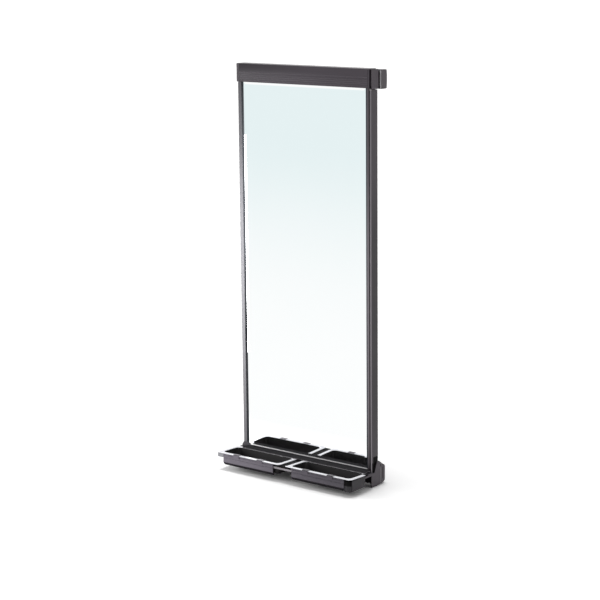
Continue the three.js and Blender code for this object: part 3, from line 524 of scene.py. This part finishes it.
# Skin over a row of rings, capped at both ends or joined round to the first
def loftRings(rings, transform=None, around=False):
    count, total = len(rings[0]), len(rings[0]) * len(rings)
    points = [point for ring in rings for point in ring]
    faces = []
    for start in range(0, total if around else total - count, count):
        onward = (start + count) % total
        for i in range(count):
            j = (i + 1) % count
            faces.append((start + i, start + j, onward + j, onward + i))
    if not around:
        faces += [tuple(range(count))[::-1], tuple(range(total - count, total))]
    return meshFrom(points, faces, transform)


def joined(meshes):
    whole = bpy.data.meshes.new("joined")
    work = bmesh.new()
    for mesh in meshes:
        work.from_mesh(mesh)
    work.to_mesh(whole)
    work.free()
    return whole


# Geometry Nodes: one tree that puts a template on each point, turned and with a random spin
def fastenerTree():
    group = bpy.data.node_groups.new("placeFasteners", "GeometryNodeTree")
    group.interface.new_socket("Geometry", in_out="OUTPUT", socket_type="NodeSocketGeometry")
    inputs = {"Geometry": "Geometry", "Template": "Object", "Turn": "Rotation", "Spin": "Float",
              "Size": "Float", "Seed": "Int", "Material": "Material"}
    for name, kind in inputs.items():
        group.interface.new_socket(name, in_out="INPUT", socket_type="NodeSocket" + kind)
    nodes = NodeTree(group)
    sockets = group.nodes.new("NodeGroupInput").outputs
    given = {name: Wire(nodes, sockets[name]) for name in inputs}
    template = nodes.node("GeometryNodeObjectInfo", Object=given["Template"], out="Geometry")
    chance = nodes.node("FunctionNodeRandomValue", {"data_type": "FLOAT"}, Seed=given["Seed"],
                        out=1)
    angles = nodes.node("ShaderNodeCombineXYZ", Z=chance * given["Spin"])
    spin = nodes.node("FunctionNodeEulerToRotation", None, angles)
    turned = nodes.node("FunctionNodeRotateRotation", {"rotation_space": "LOCAL"},
                        given["Turn"], spin)
    placed = nodes.node("GeometryNodeInstanceOnPoints", Points=given["Geometry"],
                        Instance=template, Rotation=turned, Scale=given["Size"])
    whole = nodes.node("GeometryNodeRealizeInstances", None, placed)
    painted = nodes.node("GeometryNodeSetMaterial", Geometry=whole, Material=given["Material"])
    nodes.join(painted, group.nodes.new("NodeGroupOutput").inputs[0])
    return group


placeFasteners = fastenerTree()


def scattered(nodes, name, places, template, turn, spin, seed):
    cloud = bpy.data.meshes.new(name + "Points")
    cloud.from_pydata(places, [], [])
    holder = bpy.data.objects.new(name + "Holder", cloud)
    scene.collection.objects.link(holder)
    modifier = holder.modifiers.new("placeFasteners", "NODES")
    modifier.node_group = placeFasteners
    given = {"Template": template, "Turn": turn, "Spin": spin, "Size": 1.0, "Seed": seed,
             "Material": materials["steel"]}
    for item in placeFasteners.interface.items_tree:
        if item.item_type == "SOCKET" and item.in_out == "INPUT" and item.name in given:
            modifier[item.identifier] = given[item.name]
    bpy.context.view_layer.update()
    shown = holder.evaluated_get(bpy.context.evaluated_depsgraph_get())
    plain = bpy.data.meshes.new_from_object(shown)
    bpy.data.objects.remove(holder)
    replacing(nodes, name, plain, "steel", meshStyle["fastenerDegrees"])


print("helpers ready")

# Profiles, brackets and caps keep the CAD shapes: their finishes and how wide their edges are
pairStyle = {  # at top and bottom
    "rail_housing": ("mochaX", 0.35 * mm), "rail_left_cap": ("greyCap", 0.9 * mm),
    "beam": ("mochaX", 0.3 * mm), "carriage_plate": ("steel", 0.25 * mm),
    "pivot_pin": ("steel", 0.3 * mm), "pivot_washer": ("nylon", 0.15 * mm),
    "outer_slide": ("steel", 0.3 * mm), "middle_slide": ("steel", 0.3 * mm),
    "inner_slide": ("steel", 0.3 * mm),
}
singleStyle = {
    "top_end_cap": ("greyCap", 1.0 * mm), "bottom_end_cap": ("greyCap", 0.7 * mm),
    "top_bracket": ("mochaZ", 0.5 * mm), "bottom_bracket": ("mochaZ", 0.6 * mm),
    "catch_magnet": ("blackPlastic", 0.6 * mm), "catch_striker": ("steel", 0.4 * mm),
    # the left stile's finish carries a painted highlight band
    "right_stile": ("mochaZ", 0.35 * mm), "left_stile": ("greyStilePaintedHighlight", 0.35 * mm),
    # the hinge block in near-black: painted shade in the recess at the stile's foot
    "hinge_block": ("pitchPaintedShade", 0.8 * mm), "left_foot": ("footPlastic", 0.9 * mm),
    # the top cover's finish darkens towards the left: painted shade
    "bottom_sill": ("greyX", 0.3 * mm), "top_cover": ("coverPaintedShadeX", 0.25 * mm),
    "cover_left_cap": ("greyCap", 0.8 * mm), "cover_right_cap": ("mochaZ", 0.6 * mm),
    # the tray frame in a lighter grey: painted highlight
    "tray_hanger": ("mochaX", 0.3 * mm), "tray_frame": ("barGreyPaintedHighlight", 0.5 * mm),
    # the side panels in dark lilac and the corner post in near-black: painted shade
    "tray_side_panel": ("sideLilacPaintedShade", 0.5 * mm), "tray_corner_post": ("pitchPaintedShade", 0.6 * mm),
    "left_glass_seal": ("leftRubberPaintedHighlight", 0.6 * mm), "right_glass_seal": ("rubber", 0.6 * mm),
    "back_panel": ("board", 0.4 * mm),
}
for place in ("bottom", "top"):
    for kind, looks in pairStyle.items():
        dressed(f"{place}_{kind}", *looks)
for node, looks in singleStyle.items():
    dressed(node, *looks)


# Faces that catch the light or lie in shade have finishes of their own
def facesOf(node):
    return bpy.data.objects[node + "_dressed"]


bandStyle = {
    "square": 0.9,  # least part of a normal along an axis, for a face square to it
    "slant": 0.25,
    "grooveFrom": 240 * mm,
    "sideShade": 46 * mm,
    "seatTo": 245.4 * mm,
    "sealLip": 3 * mm,
    "postCap": 14 * mm,
    "flangeTop": 2.6 * mm,
    "armFrom": 236 * mm,
    "coverEdge": 8 * mm,
    "plateSplit": 4.5 * mm,
    "endSkin": 1 * mm,
    "capTopPaintedHighlight": 6 * mm,
}


def paintBands():
    b = bandStyle
    square, slant = b["square"], b["slant"]
    stile = facesOf("right_stile")
    # the front face with its painted highlight band
    paintFaces(stile, "stileFrontPaintedHighlight", lambda c, n: n.y < -square)
    # the bead's faces towards the front and right: painted highlight
    paintFaces(stile, "beadPaintedHighlight", lambda c, n: n.y < -slant and n.x > slant)
    # the groove beside the bead in near-black: painted shade
    paintFaces(stile, "pitchPaintedShade", lambda c, n: n.x < -slant and n.y < 0 and c.x > b["grooveFrom"])
    # the side face with its painted shade band
    paintFaces(stile, "stileSidePaintedShade", lambda c, n: n.x > square)
    # the foot of the side face in near-black: painted shade
    split(stile, "z", b["sideShade"])
    paintFaces(stile, "pitchPaintedShade", lambda c, n: n.x > square and c.z < b["sideShade"])
    # the bracket's seat in near-black: painted shade
    paintFaces(facesOf("bottom_bracket"), "pitchPaintedShade", lambda c, n: c.x < b["seatTo"])
    leftStile = facesOf("left_stile")
    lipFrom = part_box("left_stile")[1].x - b["sealLip"]
    split(leftStile, "x", lipFrom)
    # the stile's edge by the glass takes the left seal's finish, with its painted highlight band
    paintFaces(leftStile, "leftRubberPaintedHighlight", lambda c, n: n.y < -square and c.x > lipFrom)
    # the corner post in near-black under the rim: painted shadow
    post = facesOf("tray_corner_post")
    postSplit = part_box("tray_corner_post")[1].z - b["postCap"]
    split(post, "z", postSplit)
    # the post's lower part in dark lilac: painted shade
    paintFaces(post, "sideLilacPaintedShade", lambda c, n: c.z < postSplit)
    sill = facesOf("bottom_sill")
    paintFaces(sill, "sillShade", lambda c, n: n.y < -square)
    # the sill's top: painted highlight
    paintFaces(sill, "ledgePaintedHighlight", lambda c, n: n.z > square)
    hanger = facesOf("tray_hanger")
    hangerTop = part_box("tray_hanger")[1].z - b["flangeTop"]
    paintFaces(hanger, "sillShade", lambda c, n: n.z > square)
    # the hanger's front edge: painted highlight
    paintFaces(hanger, "flangeEdgePaintedHighlight", lambda c, n: n.y < -square and c.z > hangerTop)
    bars = facesOf("tray_frame")
    # the right arms by the stile in the darker frame finish: painted shade
    split(bars, "x", b["armFrom"])
    paintFaces(bars, "mochaX", lambda c, n: c.x > b["armFrom"])
    # the cover bead's upper faces: painted highlight
    low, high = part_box("top_cover")
    lineFrom, lineTo = low.z + b["coverEdge"], high.z - b["coverEdge"]
    paintFaces(facesOf("top_cover"), "coverLinePaintedHighlight",
               lambda c, n: n.z > slant and lineFrom < c.z < lineTo)
    plate = facesOf("top_carriage_plate")
    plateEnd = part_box("top_carriage_plate")[1].x
    edgeFrom, skinFrom = plateEnd - b["plateSplit"], plateEnd - b["endSkin"]
    split(plate, "x", edgeFrom)
    # the plate's front by its end: painted highlight
    paintFaces(plate, "plateEdgePaintedHighlight", lambda c, n: n.y < -square and c.x > edgeFrom)
    paintFaces(plate, "greyCap", lambda c, n: n.x > square and c.x > skinFrom)
    # the lower plate's end in light grey: painted highlight
    lowPlate = facesOf("bottom_carriage_plate")
    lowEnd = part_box("bottom_carriage_plate")[1].x - b["plateSplit"]
    split(lowPlate, "x", lowEnd)
    paintFaces(lowPlate, "capTopPaintedHighlight", lambda c, n: c.x > lowEnd)
    # the bottom end cap's top in light grey: painted highlight
    cap = facesOf("bottom_end_cap")
    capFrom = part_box("bottom_end_cap")[1].z - b["capTopPaintedHighlight"]
    split(cap, "z", capFrom)
    paintFaces(cap, "capTopPaintedHighlight", lambda c, n: c.z > capFrom)


paintBands()
print("profiles, brackets and caps dressed")

# Balls in bent cages between the slide members
cageStyle = {
    "sheet": 0.6 * mm, "bend": 1.2 * mm, "ballRadius": 1.7 * mm, "ballPitch": 22 * mm,
    "ballsInRow": 8, "segments": 16, "rings": 10, "seed": 3,
}


def ballMesh():  # rings from pole to pole, which close to a point there
    c = cageStyle
    rings = []
    for z, reach in arcPoints(0, 0, c["ballRadius"], 0, 180, c["rings"]):
        circle = arcPoints(0, 0, reach, 0, 360, c["segments"])[:-1]
        rings.append([(x, y, z) for x, y in circle])
    return loftRings(rings)


ballTemplate = bpy.data.objects.new("ballTemplate", ballMesh())


def buildCage(node):
    c = cageStyle
    low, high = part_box(node)
    radius, middle = c["ballRadius"], (low.z + high.z) / 2
    race = (high.z - low.z) / 2 - radius  # from the middle to each row of balls
    yBall, yWeb = low.y + radius, high.y - c["sheet"] / 2
    yOpen = yBall - radius / 2
    corners = [(yOpen, -race), (yWeb, -race), (yWeb, race), (yOpen, race)]
    section = [(y, z + middle) for y, z in sheetSection(corners, c["sheet"], c["bend"])]
    replacing([node], node + "_sheet", extrudedX(section, low.x, high.x), "nylon")
    start = -(c["ballsInRow"] - 1) / 2
    places = [((start + i) * c["ballPitch"], yBall, middle + side * race)
              for side in (-1, 1) for i in range(c["ballsInRow"])]
    scattered([node], node + "_balls", places, ballTemplate, (0, 0, 0), 0.0, c["seed"])


# Screws and rivets, modelled round Z with their heads up and the head's seat at zero. Their
# profiles are in shares of the head's radius and height
screwStyle = {
    "profile": ((1, 0), (1, 0.35), (0.93, 0.75), (0.72, 1), (0.55, 1)),
    "head": 2 * mm,
    "recess": 1.1 * mm,
    "slotShare": 0.13,
    "crossTop": 0.5,
    "crossFloor": 0.42,
    "seed": 5,
}
rivetStyle = {
    "profile": ((1, 0), (1, 0.4), (0.85, 1), (0.4, 1)),
    "head": 0.6 * mm,
    "hollow": 1.1 * mm,
    "hollowShare": 0.34,
    "seed": 7,
}
shankStyle = {"radius": 2 * mm, "steps": 24, "turn": (pi / 2, 0, 0)}  # heads face the front


def ringAt(z, reach):  # reach gives the radius at each turn
    steps = shankStyle["steps"]
    turns = [2 * pi * i / steps for i in range(steps)]
    return [(reach(turn) * cos(turn), reach(turn) * sin(turn), z) for turn in turns]


def headRings(style, radius, shank):
    outline = [(shankStyle["radius"], -shank), (shankStyle["radius"], 0)]
    outline += [(radius * out, style["head"] * up) for out, up in style["profile"]]
    return [ringAt(z, lambda turn, r=r: r) for r, z in outline]


def crossHead(radius, shank):
    s = screwStyle
    slot = radius * s["slotShare"]

    def plus(reach):  # a plus-shaped ring
        def radiusAt(turn):
            least = min(abs(cos(turn)), abs(sin(turn)))
            return slot / least if least * reach > slot else reach
        return radiusAt

    return loftRings(headRings(s, radius, shank)
                     + [ringAt(s["head"], plus(radius * s["crossTop"])),
                        ringAt(s["head"] - s["recess"], plus(radius * s["crossFloor"]))])


def rivetHead(radius, shank):
    r = rivetStyle
    hollow = ringAt(r["head"] - r["hollow"], lambda turn: radius * r["hollowShare"])
    return loftRings(headRings(r, radius, shank) + [hollow])


def buildFasteners(place, kind, style, headMesh):  # with the tops of the heads at the boxes' fronts
    nodes = [f"{place}_{kind}_{i}" for i in (1, 2)]
    boxes = [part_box(node) for node in nodes]
    low, high = boxes[0]
    mesh = headMesh((high.x - low.x) / 2, high.y - low.y - style["head"])
    template = bpy.data.objects.new(kind + "Template", mesh)
    places = [((low.x + high.x) / 2, low.y + style["head"], (low.z + high.z) / 2)
              for low, high in boxes]
    scattered(nodes, f"{place}_{kind}s", places, template, shankStyle["turn"], 2 * pi,
              style["seed"])


for place in ("bottom", "top"):
    for member in ("outer", "inner"):
        buildCage(f"{place}_{member}_ball_cage")
    buildFasteners(place, "carriage_screw", screwStyle, crossHead)
    buildFasteners(place, "slide_rivet", rivetStyle, rivetHead)
print("cages, screws and rivets built")

# Accessory trays
trayStyle = {
    "tilt": 2.1,  # degrees, front edge up
    "rimWidth": 12 * mm,
    "rimThickness": 1.8 * mm,
    "rimEdge": 0.8 * mm,
    "outerCorner": 12 * mm,
    "sharpCorner": 3 * mm,
    "innerCorner": 14 * mm,
    "depth": 100 * mm,
    "height": 34 * mm,
    "wall": 1.8 * mm,
    "draft": 4 * mm,
    "floorRadius": 6 * mm,
    "leastCorner": 0.3 * mm,
    "cornerShrink": 0.8,
    "tubDrop": 0.3 * mm,
    "collarTop": 0.9 * mm,
    "collarDrop": 0.1 * mm,
    "innerTop": 1.5 * mm,
    "innerGap": 0.3 * mm,
    "edgeShare": 0.6,
    "crownShare": 0.5,
    "crown": 0.05 * mm,
    "skirtHeight": 13 * mm,
    "skirtThickness": 1.5 * mm,
    "skirtBack": 13 * mm,
    "skirtFront": 23.7 * mm,
    "skirtLap": 0.3 * mm,
    "skirtEdge": 0.4 * mm,
    "linerThickness": 2 * mm,
    "linerGap": 3 * mm,
    "linerLift": 0.3 * mm,
    "linerRound": 1 * mm,
    "cornerSteps": 10,
    "skirtSteps": 8,
    "floorSteps": 6,
    "edgeSteps": 4,
    "shadedEnd": 24 * mm,
    "shadedInset": 1 * mm,
}


def trayFrame(rimNode):  # where the tray's own frame lies, worked out from its rim
    low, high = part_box(rimNode)
    tilt = radians(trayStyle["tilt"])
    back = high.y - trayStyle["rimThickness"] * sin(tilt)
    base = high.z - trayStyle["depth"] * sin(tilt) - trayStyle["rimThickness"] * cos(tilt)
    place = Matrix.Translation(((low.x + high.x) / 2, back, base)) @ Matrix.Rotation(-tilt, 4, "X")
    return place, high.x - low.x


def trayRing(width, inset, corner, z, frontLeft=None):
    half, depth, steps = width / 2 - inset, trayStyle["depth"], trayStyle["cornerSteps"]
    low, high = inset - depth, -inset
    corner = max(corner, trayStyle["leastCorner"])
    sharp = frontLeft or corner
    ring = []
    for cx, cy, radius, start in ((-half + sharp, low + sharp, sharp, 180),
                                  (half - corner, low + corner, corner, 270),
                                  (half - corner, high - corner, corner, 0),
                                  (-half + corner, high - corner, corner, 90)):
        ring += arcPoints(cx, cy, radius, start, start + 90, steps)
    return [(x, y, z) for x, y in ring]


def quarter(steps):  # a quarter round as shares of its radius, inwards and down
    return [(1 - cos(pi / 2 * i / steps), 1 - sin(pi / 2 * i / steps)) for i in range(steps + 1)]


def buildTub(side, place, width):
    t = trayStyle
    bottom, radius = -t["height"], t["floorRadius"]

    # Rings from the top down, with a rounded floor edge
    def wallRings(inset, corner, top, floor, radius):
        drop = top - floor - radius
        lean = inset + t["draft"] * drop / (top - floor)
        rings = [trayRing(width, inset, corner, top), trayRing(width, lean, corner, floor + radius)]
        for out, down in quarter(t["floorSteps"]):
            shrunk = corner - out * radius * t["cornerShrink"]
            rings.append(trayRing(width, lean + out * radius, shrunk, floor + down * radius))
        return rings

    rim, corner, wall = t["rimWidth"], t["innerCorner"], t["wall"]
    outer = wallRings(rim - wall, corner + wall, -t["tubDrop"], bottom, radius + wall)
    inner = wallRings(rim + t["innerGap"], corner, t["innerTop"], bottom + wall, radius)
    collar = [trayRing(width, rim, corner, z) for z in (-t["collarDrop"], t["collarTop"])]
    mesh = loftRings(outer[::-1] + collar + inner, place)
    replacing([f"{side}_tray"], f"{side}_tray_tub", mesh, "blackPlastic")


def buildRim(side, place, width):
    t = trayStyle
    edge, thick = t["rimEdge"], t["rimThickness"]
    rings = []

    def ring(inset, z):  # corner radii run from the outer to the inner one
        share = min(max(inset / t["rimWidth"], 0), 1)
        corner = t["outerCorner"] + (t["innerCorner"] - t["outerCorner"]) * share
        frontLeft = t["sharpCorner"] + (t["innerCorner"] - t["sharpCorner"]) * share
        rings.append(trayRing(width, inset, corner, z, frontLeft))

    ring(edge, 0)
    ring(0, edge * t["edgeShare"])
    for out, down in quarter(t["edgeSteps"]):
        ring(edge * out, thick - edge * down)
    ring(t["rimWidth"] * t["crownShare"], thick + t["crown"])
    for out, down in reversed(quarter(t["edgeSteps"])):
        ring(t["rimWidth"] - edge * out, thick - edge * down)
    ring(t["rimWidth"], 0)
    return replacing([f"{side}_tray_rim"], f"{side}_tray_rim_flange",
                     loftRings(rings, place, around=True), "rim")


def shadeRimEnd(rim):  # the rim's back right corner lies in the stile's shade
    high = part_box("right_tray_rim")[1]
    back = high.y - trayStyle["shadedEnd"]
    right = high.x - trayStyle["rimWidth"] - trayStyle["shadedInset"]
    split(rim, "y", back)
    paintFaces(rim, "sillShade", lambda c, n: c.y > back and c.x > right)


def buildSkirt(side, place, width):  # the rim's turned-down edge on its left side
    t = trayStyle
    low, corner = -t["depth"], t["sharpCorner"]
    path = [(-width / 2, -t["skirtBack"])]
    path += arcPoints(-width / 2 + corner, low + corner, corner, 180, 270, t["skirtSteps"])
    path = [Vector(point) for point in path + [(-width / 2 + t["skirtFront"], low)]]
    rings = []
    for i, outer in enumerate(path):
        inner = outer + offsetAt(path, i, t["skirtThickness"])
        rings.append([(*outer, t["skirtLap"]), (*outer, -t["skirtHeight"]),
                      (*inner, -t["skirtHeight"]), (*inner, t["skirtLap"])])
    piece = replacing([f"{side}_tray_rim"], f"{side}_tray_rim_skirt", loftRings(rings, place),
                      "skirt")
    softenEdges(piece, t["skirtEdge"])


def buildLiner(side, place, width):
    t = trayStyle
    inset, corner = t["rimWidth"] + t["draft"] + t["linerGap"], t["innerCorner"]
    floor = t["wall"] - t["height"] + t["linerLift"]
    top, bend = floor + t["linerThickness"], t["linerRound"]
    rings = [trayRing(width, inset, corner, floor)]
    for out, down in quarter(t["edgeSteps"]):
        rings.append(trayRing(width, inset + out * bend, corner - out * bend, top - down * bend))
    replacing([f"{side}_tray_liner"], f"{side}_tray_mat", loftRings(rings, place), "felt")


panelStyle = {
    "inset": 24 * mm,
    "thickness": 2 * mm,
    "face": 27.4 * mm,
    "topGap": 0.3 * mm,
    "topEdge": 0.5 * mm,
    "returnDepth": 8 * mm,
    "returnDrop": 9 * mm,
    "bendReach": 4 * mm,
    "bendRadius": 3 * mm,
    "grooveDepth": 1.0 * mm,
    "grooveHeight": 2.2 * mm,
    "grooveShares": (0.83, 0.53),
    "grooveSteps": 6,
    "clipWidth": 22 * mm,
    "clipThickness": 1.3 * mm,
    "clipReach": 13 * mm,
    "clipDrop": 6 * mm,
    "clipGap": 0.3 * mm,
    "clipBend": 1.8 * mm,
    "clipShares": (-0.235, 0.235),
    "shadedSlant": 0.3,
    "topSquare": 0.95,
    "edge": 0.25 * mm,
    "edgeSegments": 2,
}


def panelSection():  # front face with its grooves, and the return bent back under it
    p = panelStyle
    front, top = -trayStyle["depth"], -p["topGap"]
    low = top - p["face"]
    outline = [(front + p["thickness"], top), (front + p["topEdge"], top),
               (front, top - p["topEdge"])]
    for share in p["grooveShares"]:
        middle = low + share * p["face"]
        for i in range(p["grooveSteps"] + 1):
            turn = pi * i / p["grooveSteps"]
            outline.append((front + p["grooveDepth"] * sin(turn),
                            middle + p["grooveHeight"] / 2 * cos(turn)))
    back, bottom = front + p["returnDepth"], low - p["returnDrop"]
    bend = [(front, low + p["bendReach"]), (front, low), (back, bottom)]
    inner = [(y + p["thickness"], z) for y, z in reversed(bend)]
    return outline + roundedPath(bend, p["bendRadius"]) + roundedPath(inner, p["bendRadius"])


def clipSection():  # a strap over the rim
    p = panelStyle
    thick = p["clipThickness"]
    y = -trayStyle["depth"] - p["clipGap"] - thick / 2
    z = trayStyle["rimThickness"] + p["clipGap"] + thick / 2
    path = [(y, -p["clipDrop"]), (y, z), (y - thick / 2 + p["clipReach"], z)]
    return sheetSection(path, thick, p["clipBend"])


def buildPanel(side, place, width):
    p = panelStyle
    length, half = width - 2 * p["inset"], p["clipWidth"] / 2
    meshes = [extrudedX(panelSection(), -length / 2, length / 2, place)]
    for share in p["clipShares"]:
        x = share * length
        meshes.append(extrudedX(clipSection(), x - half, x + half, place))
    # the fronts in lilac with light painted from the left
    piece = replacing([f"{side}_tray_panel"], f"{side}_tray_front", joined(meshes), "lilacPaintedLightX")
    paintFaces(piece, "panelShade", lambda c, n: n.z < -p["shadedSlant"])
    # the upper faces of the grooves in dark lilac: painted shade
    paintFaces(piece, "sideLilacPaintedShade", lambda c, n: p["shadedSlant"] < n.z < p["topSquare"])
    softenEdges(piece, p["edge"], p["edgeSegments"])


for side in ("left", "right"):
    place, width = trayFrame(f"{side}_tray_rim")
    buildTub(side, place, width)
    rim = buildRim(side, place, width)
    if side == "left":
        buildSkirt(side, place, width)
    else:
        shadeRimEnd(rim)
    buildLiner(side, place, width)
    buildPanel(side, place, width)


# A near-black plate between the two tubs just under their rims, put there to darken the gap between
# the trays: painted shade
bridgeStyle = {
    "gap": 0.6 * mm, "thickness": 2.5 * mm, "drop": 0.8 * mm, "inset": 2 * mm, "round": 1 * mm,
}


def buildBridge():
    b = bridgeStyle
    place = trayFrame("left_tray_rim")[0]
    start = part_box("left_tray")[1].x + b["gap"] - place.translation.x
    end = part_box("right_tray")[0].x - b["gap"] - place.translation.x
    back, front = -b["inset"] - trayStyle["rimWidth"], b["inset"] - trayStyle["depth"]
    low, high = -b["drop"] - b["thickness"], -b["drop"]
    section = roundedPath([(back, low), (front, low), (front, high), (back, high)], b["round"])
    mesh = extrudedX(section, start, end, place)
    added("tray_bridge", mesh, "pitchPaintedShade", "mirror_leaf")


buildBridge()
print("trays built")

# Mirror glass with a polished bevel round what shows of it
glassStyle = {"bevelWidth": 7 * mm, "bevelDepth": 0.45 * mm, "bite": 6 * mm}


def buildGlass():
    g = glassStyle
    low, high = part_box("mirror_glass")
    sunk, shownLow, shownHigh = low.y + g["bevelDepth"], low.z + g["bite"], high.z - g["bite"]

    def ring(y, inset, bottom, top):
        left, right = low.x + inset, high.x - inset
        return [(left, y, bottom), (right, y, bottom), (right, y, top), (left, y, top)]

    rings = [
        ring(high.y, 0, low.z, high.z),
        ring(sunk, 0, low.z, high.z),
        ring(sunk, 0, shownLow, shownHigh),
        ring(low.y, g["bevelWidth"], shownLow, shownHigh - g["bevelWidth"]),
    ]
    replacing(["mirror_glass"], "mirror_pane", loftRings(rings), "glass", meshStyle["glassDegrees"])


buildGlass()
print("glass built")

# Camera, as the photograph was taken: metres and degrees in the part's own frame
cameraStyle = {
    "azimuth": 38.0,
    "elevation": 11.51,
    "roll": -0.6,
    "lens": 106.8,  # millimetres, on a sensor 36 wide
    "sensor": 36,
    "reach": 200,
    "place": (3.25586, -4.26632, 1.60067),
}


def placeCamera():
    c = cameraStyle
    azimuth, elevation = radians(c["azimuth"]), radians(c["elevation"])
    back = Vector((sin(azimuth) * cos(elevation), -cos(azimuth) * cos(elevation), sin(elevation)))
    right = Vector((cos(azimuth), sin(azimuth), 0))
    up = back.cross(right)
    roll = radians(c["roll"])
    turnedRight = right * cos(roll) + up * sin(roll)
    turnedUp = up * cos(roll) - right * sin(roll)
    camera = bpy.data.objects.new("photoCamera", bpy.data.cameras.new("photoCamera"))
    camera.data.lens = c["lens"]
    camera.data.sensor_width = c["sensor"]
    camera.data.clip_end = c["reach"]
    turn = Matrix((turnedRight, turnedUp, back)).transposed().to_4x4()
    camera.matrix_world = Matrix.Translation(c["place"]) @ turn
    scene.collection.objects.link(camera)
    scene.camera = camera


placeCamera()

# Floor and light
stageStyle = {
    "floorReach": 60,
    "floorGap": 0.4 * mm,
    "floorNear": 0.5,  # metres in front: from here on the floor that the mirror shows takes the painted reflection tint
    "floorFar": 7.2,
    "paintedReflectionTint": (0.80, 0.885, 0.895, 1),
    "worldLight": 0.52,
    "keyLight": 1.55,
    "keyTurn": (-3, -6, 0),  # degrees: nearly overhead, a little from the back and the left
    "keySoftness": 20,
    "keyPlace": (0, 0, 3),
    "boxPlace": (-1.22, -0.85, 0.45),
    "boxAim": (-0.2, -0.1, 0.4),
    "boxWidth": 0.5,
    "boxHeight": 0.85,
    "boxPower": 12,
    "shownFloor": 1.12,  # the paper's white as the camera and the mirror see it
    "paperDark": tone(228, 228, 228),
    "paperLight": tone(232, 232, 232),
    "paperRoughness": 0.9,
    "fibreScale": 3,
    "fibreDetail": 3,
    "mirrorNear": 0.25,  # nearer than this the mirrored floor shows the shadow
    "mirrorFar": 0.5,
}


def buildFloor():
    s = stageStyle
    size, z = s["floorReach"], cadBox[0].z - s["floorGap"]
    corners = [(-size, -size, z), (size, -size, z), (size, size, z), (-size, size, z)]
    mesh = meshFrom(corners, [(0, 1, 2, 3)])
    floor = bpy.data.objects.new("studioFloor", mesh)
    scene.collection.objects.link(floor)
    finish = Finish("palePaper", s["paperRoughness"], 0.0, Specular_IOR_Level=0.0)
    glossy = finish.node("ShaderNodeLightPath", out="Is Glossy Ray")
    seen = finish.node("ShaderNodeLightPath", out="Is Camera Ray") + glossy
    depth = finish.along("Y")
    far = finish.smooth(depth, -s["floorNear"], -s["floorFar"])
    away = finish.smooth(depth, -s["mirrorNear"], -s["mirrorFar"])
    fibre = finish.noise(s["fibreScale"], detail=s["fibreDetail"])
    paper = finish.tint(fibre, s["paperDark"], s["paperLight"])
    finish.colour(seen, paper, (s["shownFloor"],) * 3 + (1,))
    # for mirror rays the floor glows, white near and tinted further off: a painted reflection
    tinted = finish.tint(far, (1, 1, 1, 1), s["paintedReflectionTint"])
    mirrored = finish.node("ShaderNodeEmission", None, tinted, 1.0)
    plain = Wire(finish, finish.shader.outputs[0])
    mixed = finish.node("ShaderNodeMixShader", None, glossy * away, plain, mirrored)
    finish.join(mixed, finish.tree.nodes["Material Output"].inputs["Surface"])
    mesh.materials.append(finish.material)


def buildWorld():  # white, and dimmer as a light on the object
    world = bpy.data.worlds.new("studio")
    scene.world = world
    world.use_nodes = True
    sky = NodeTree(world.node_tree)
    lighting = sky.node("ShaderNodeLightPath", out="Is Diffuse Ray")
    shell = sky.tree.nodes["Background"]
    sky.join(1.0 - lighting * (1 - stageStyle["worldLight"]), shell.inputs["Strength"])
    sky.join((1, 1, 1, 1), shell.inputs["Color"])


def addLamp(name, kind, energy, place, turn, **settings):
    lamp = bpy.data.objects.new(name, bpy.data.lights.new(name, kind))
    lamp.data.energy = energy
    for key, value in settings.items():
        setattr(lamp.data, key, value)
    lamp.matrix_world = Matrix.Translation(place) @ turn.to_4x4()
    lamp.visible_camera = False
    scene.collection.objects.link(lamp)


def buildStage():
    s = stageStyle
    buildFloor()
    buildWorld()
    keyTurn = Euler([radians(v) for v in s["keyTurn"]]).to_matrix()
    addLamp("overheadKey", "SUN", s["keyLight"], s["keyPlace"], keyTurn,
            angle=radians(s["keySoftness"]))
    aim = Vector(s["boxAim"]) - Vector(s["boxPlace"])
    boxTurn = aim.to_track_quat("-Z", "Y").to_matrix()
    addLamp("frontLeftBox", "AREA", s["boxPower"], s["boxPlace"], boxTurn, shape="RECTANGLE",
            size=s["boxWidth"], size_y=s["boxHeight"])


buildStage()
scene.view_settings.view_transform = "Standard"
print("stage ready")
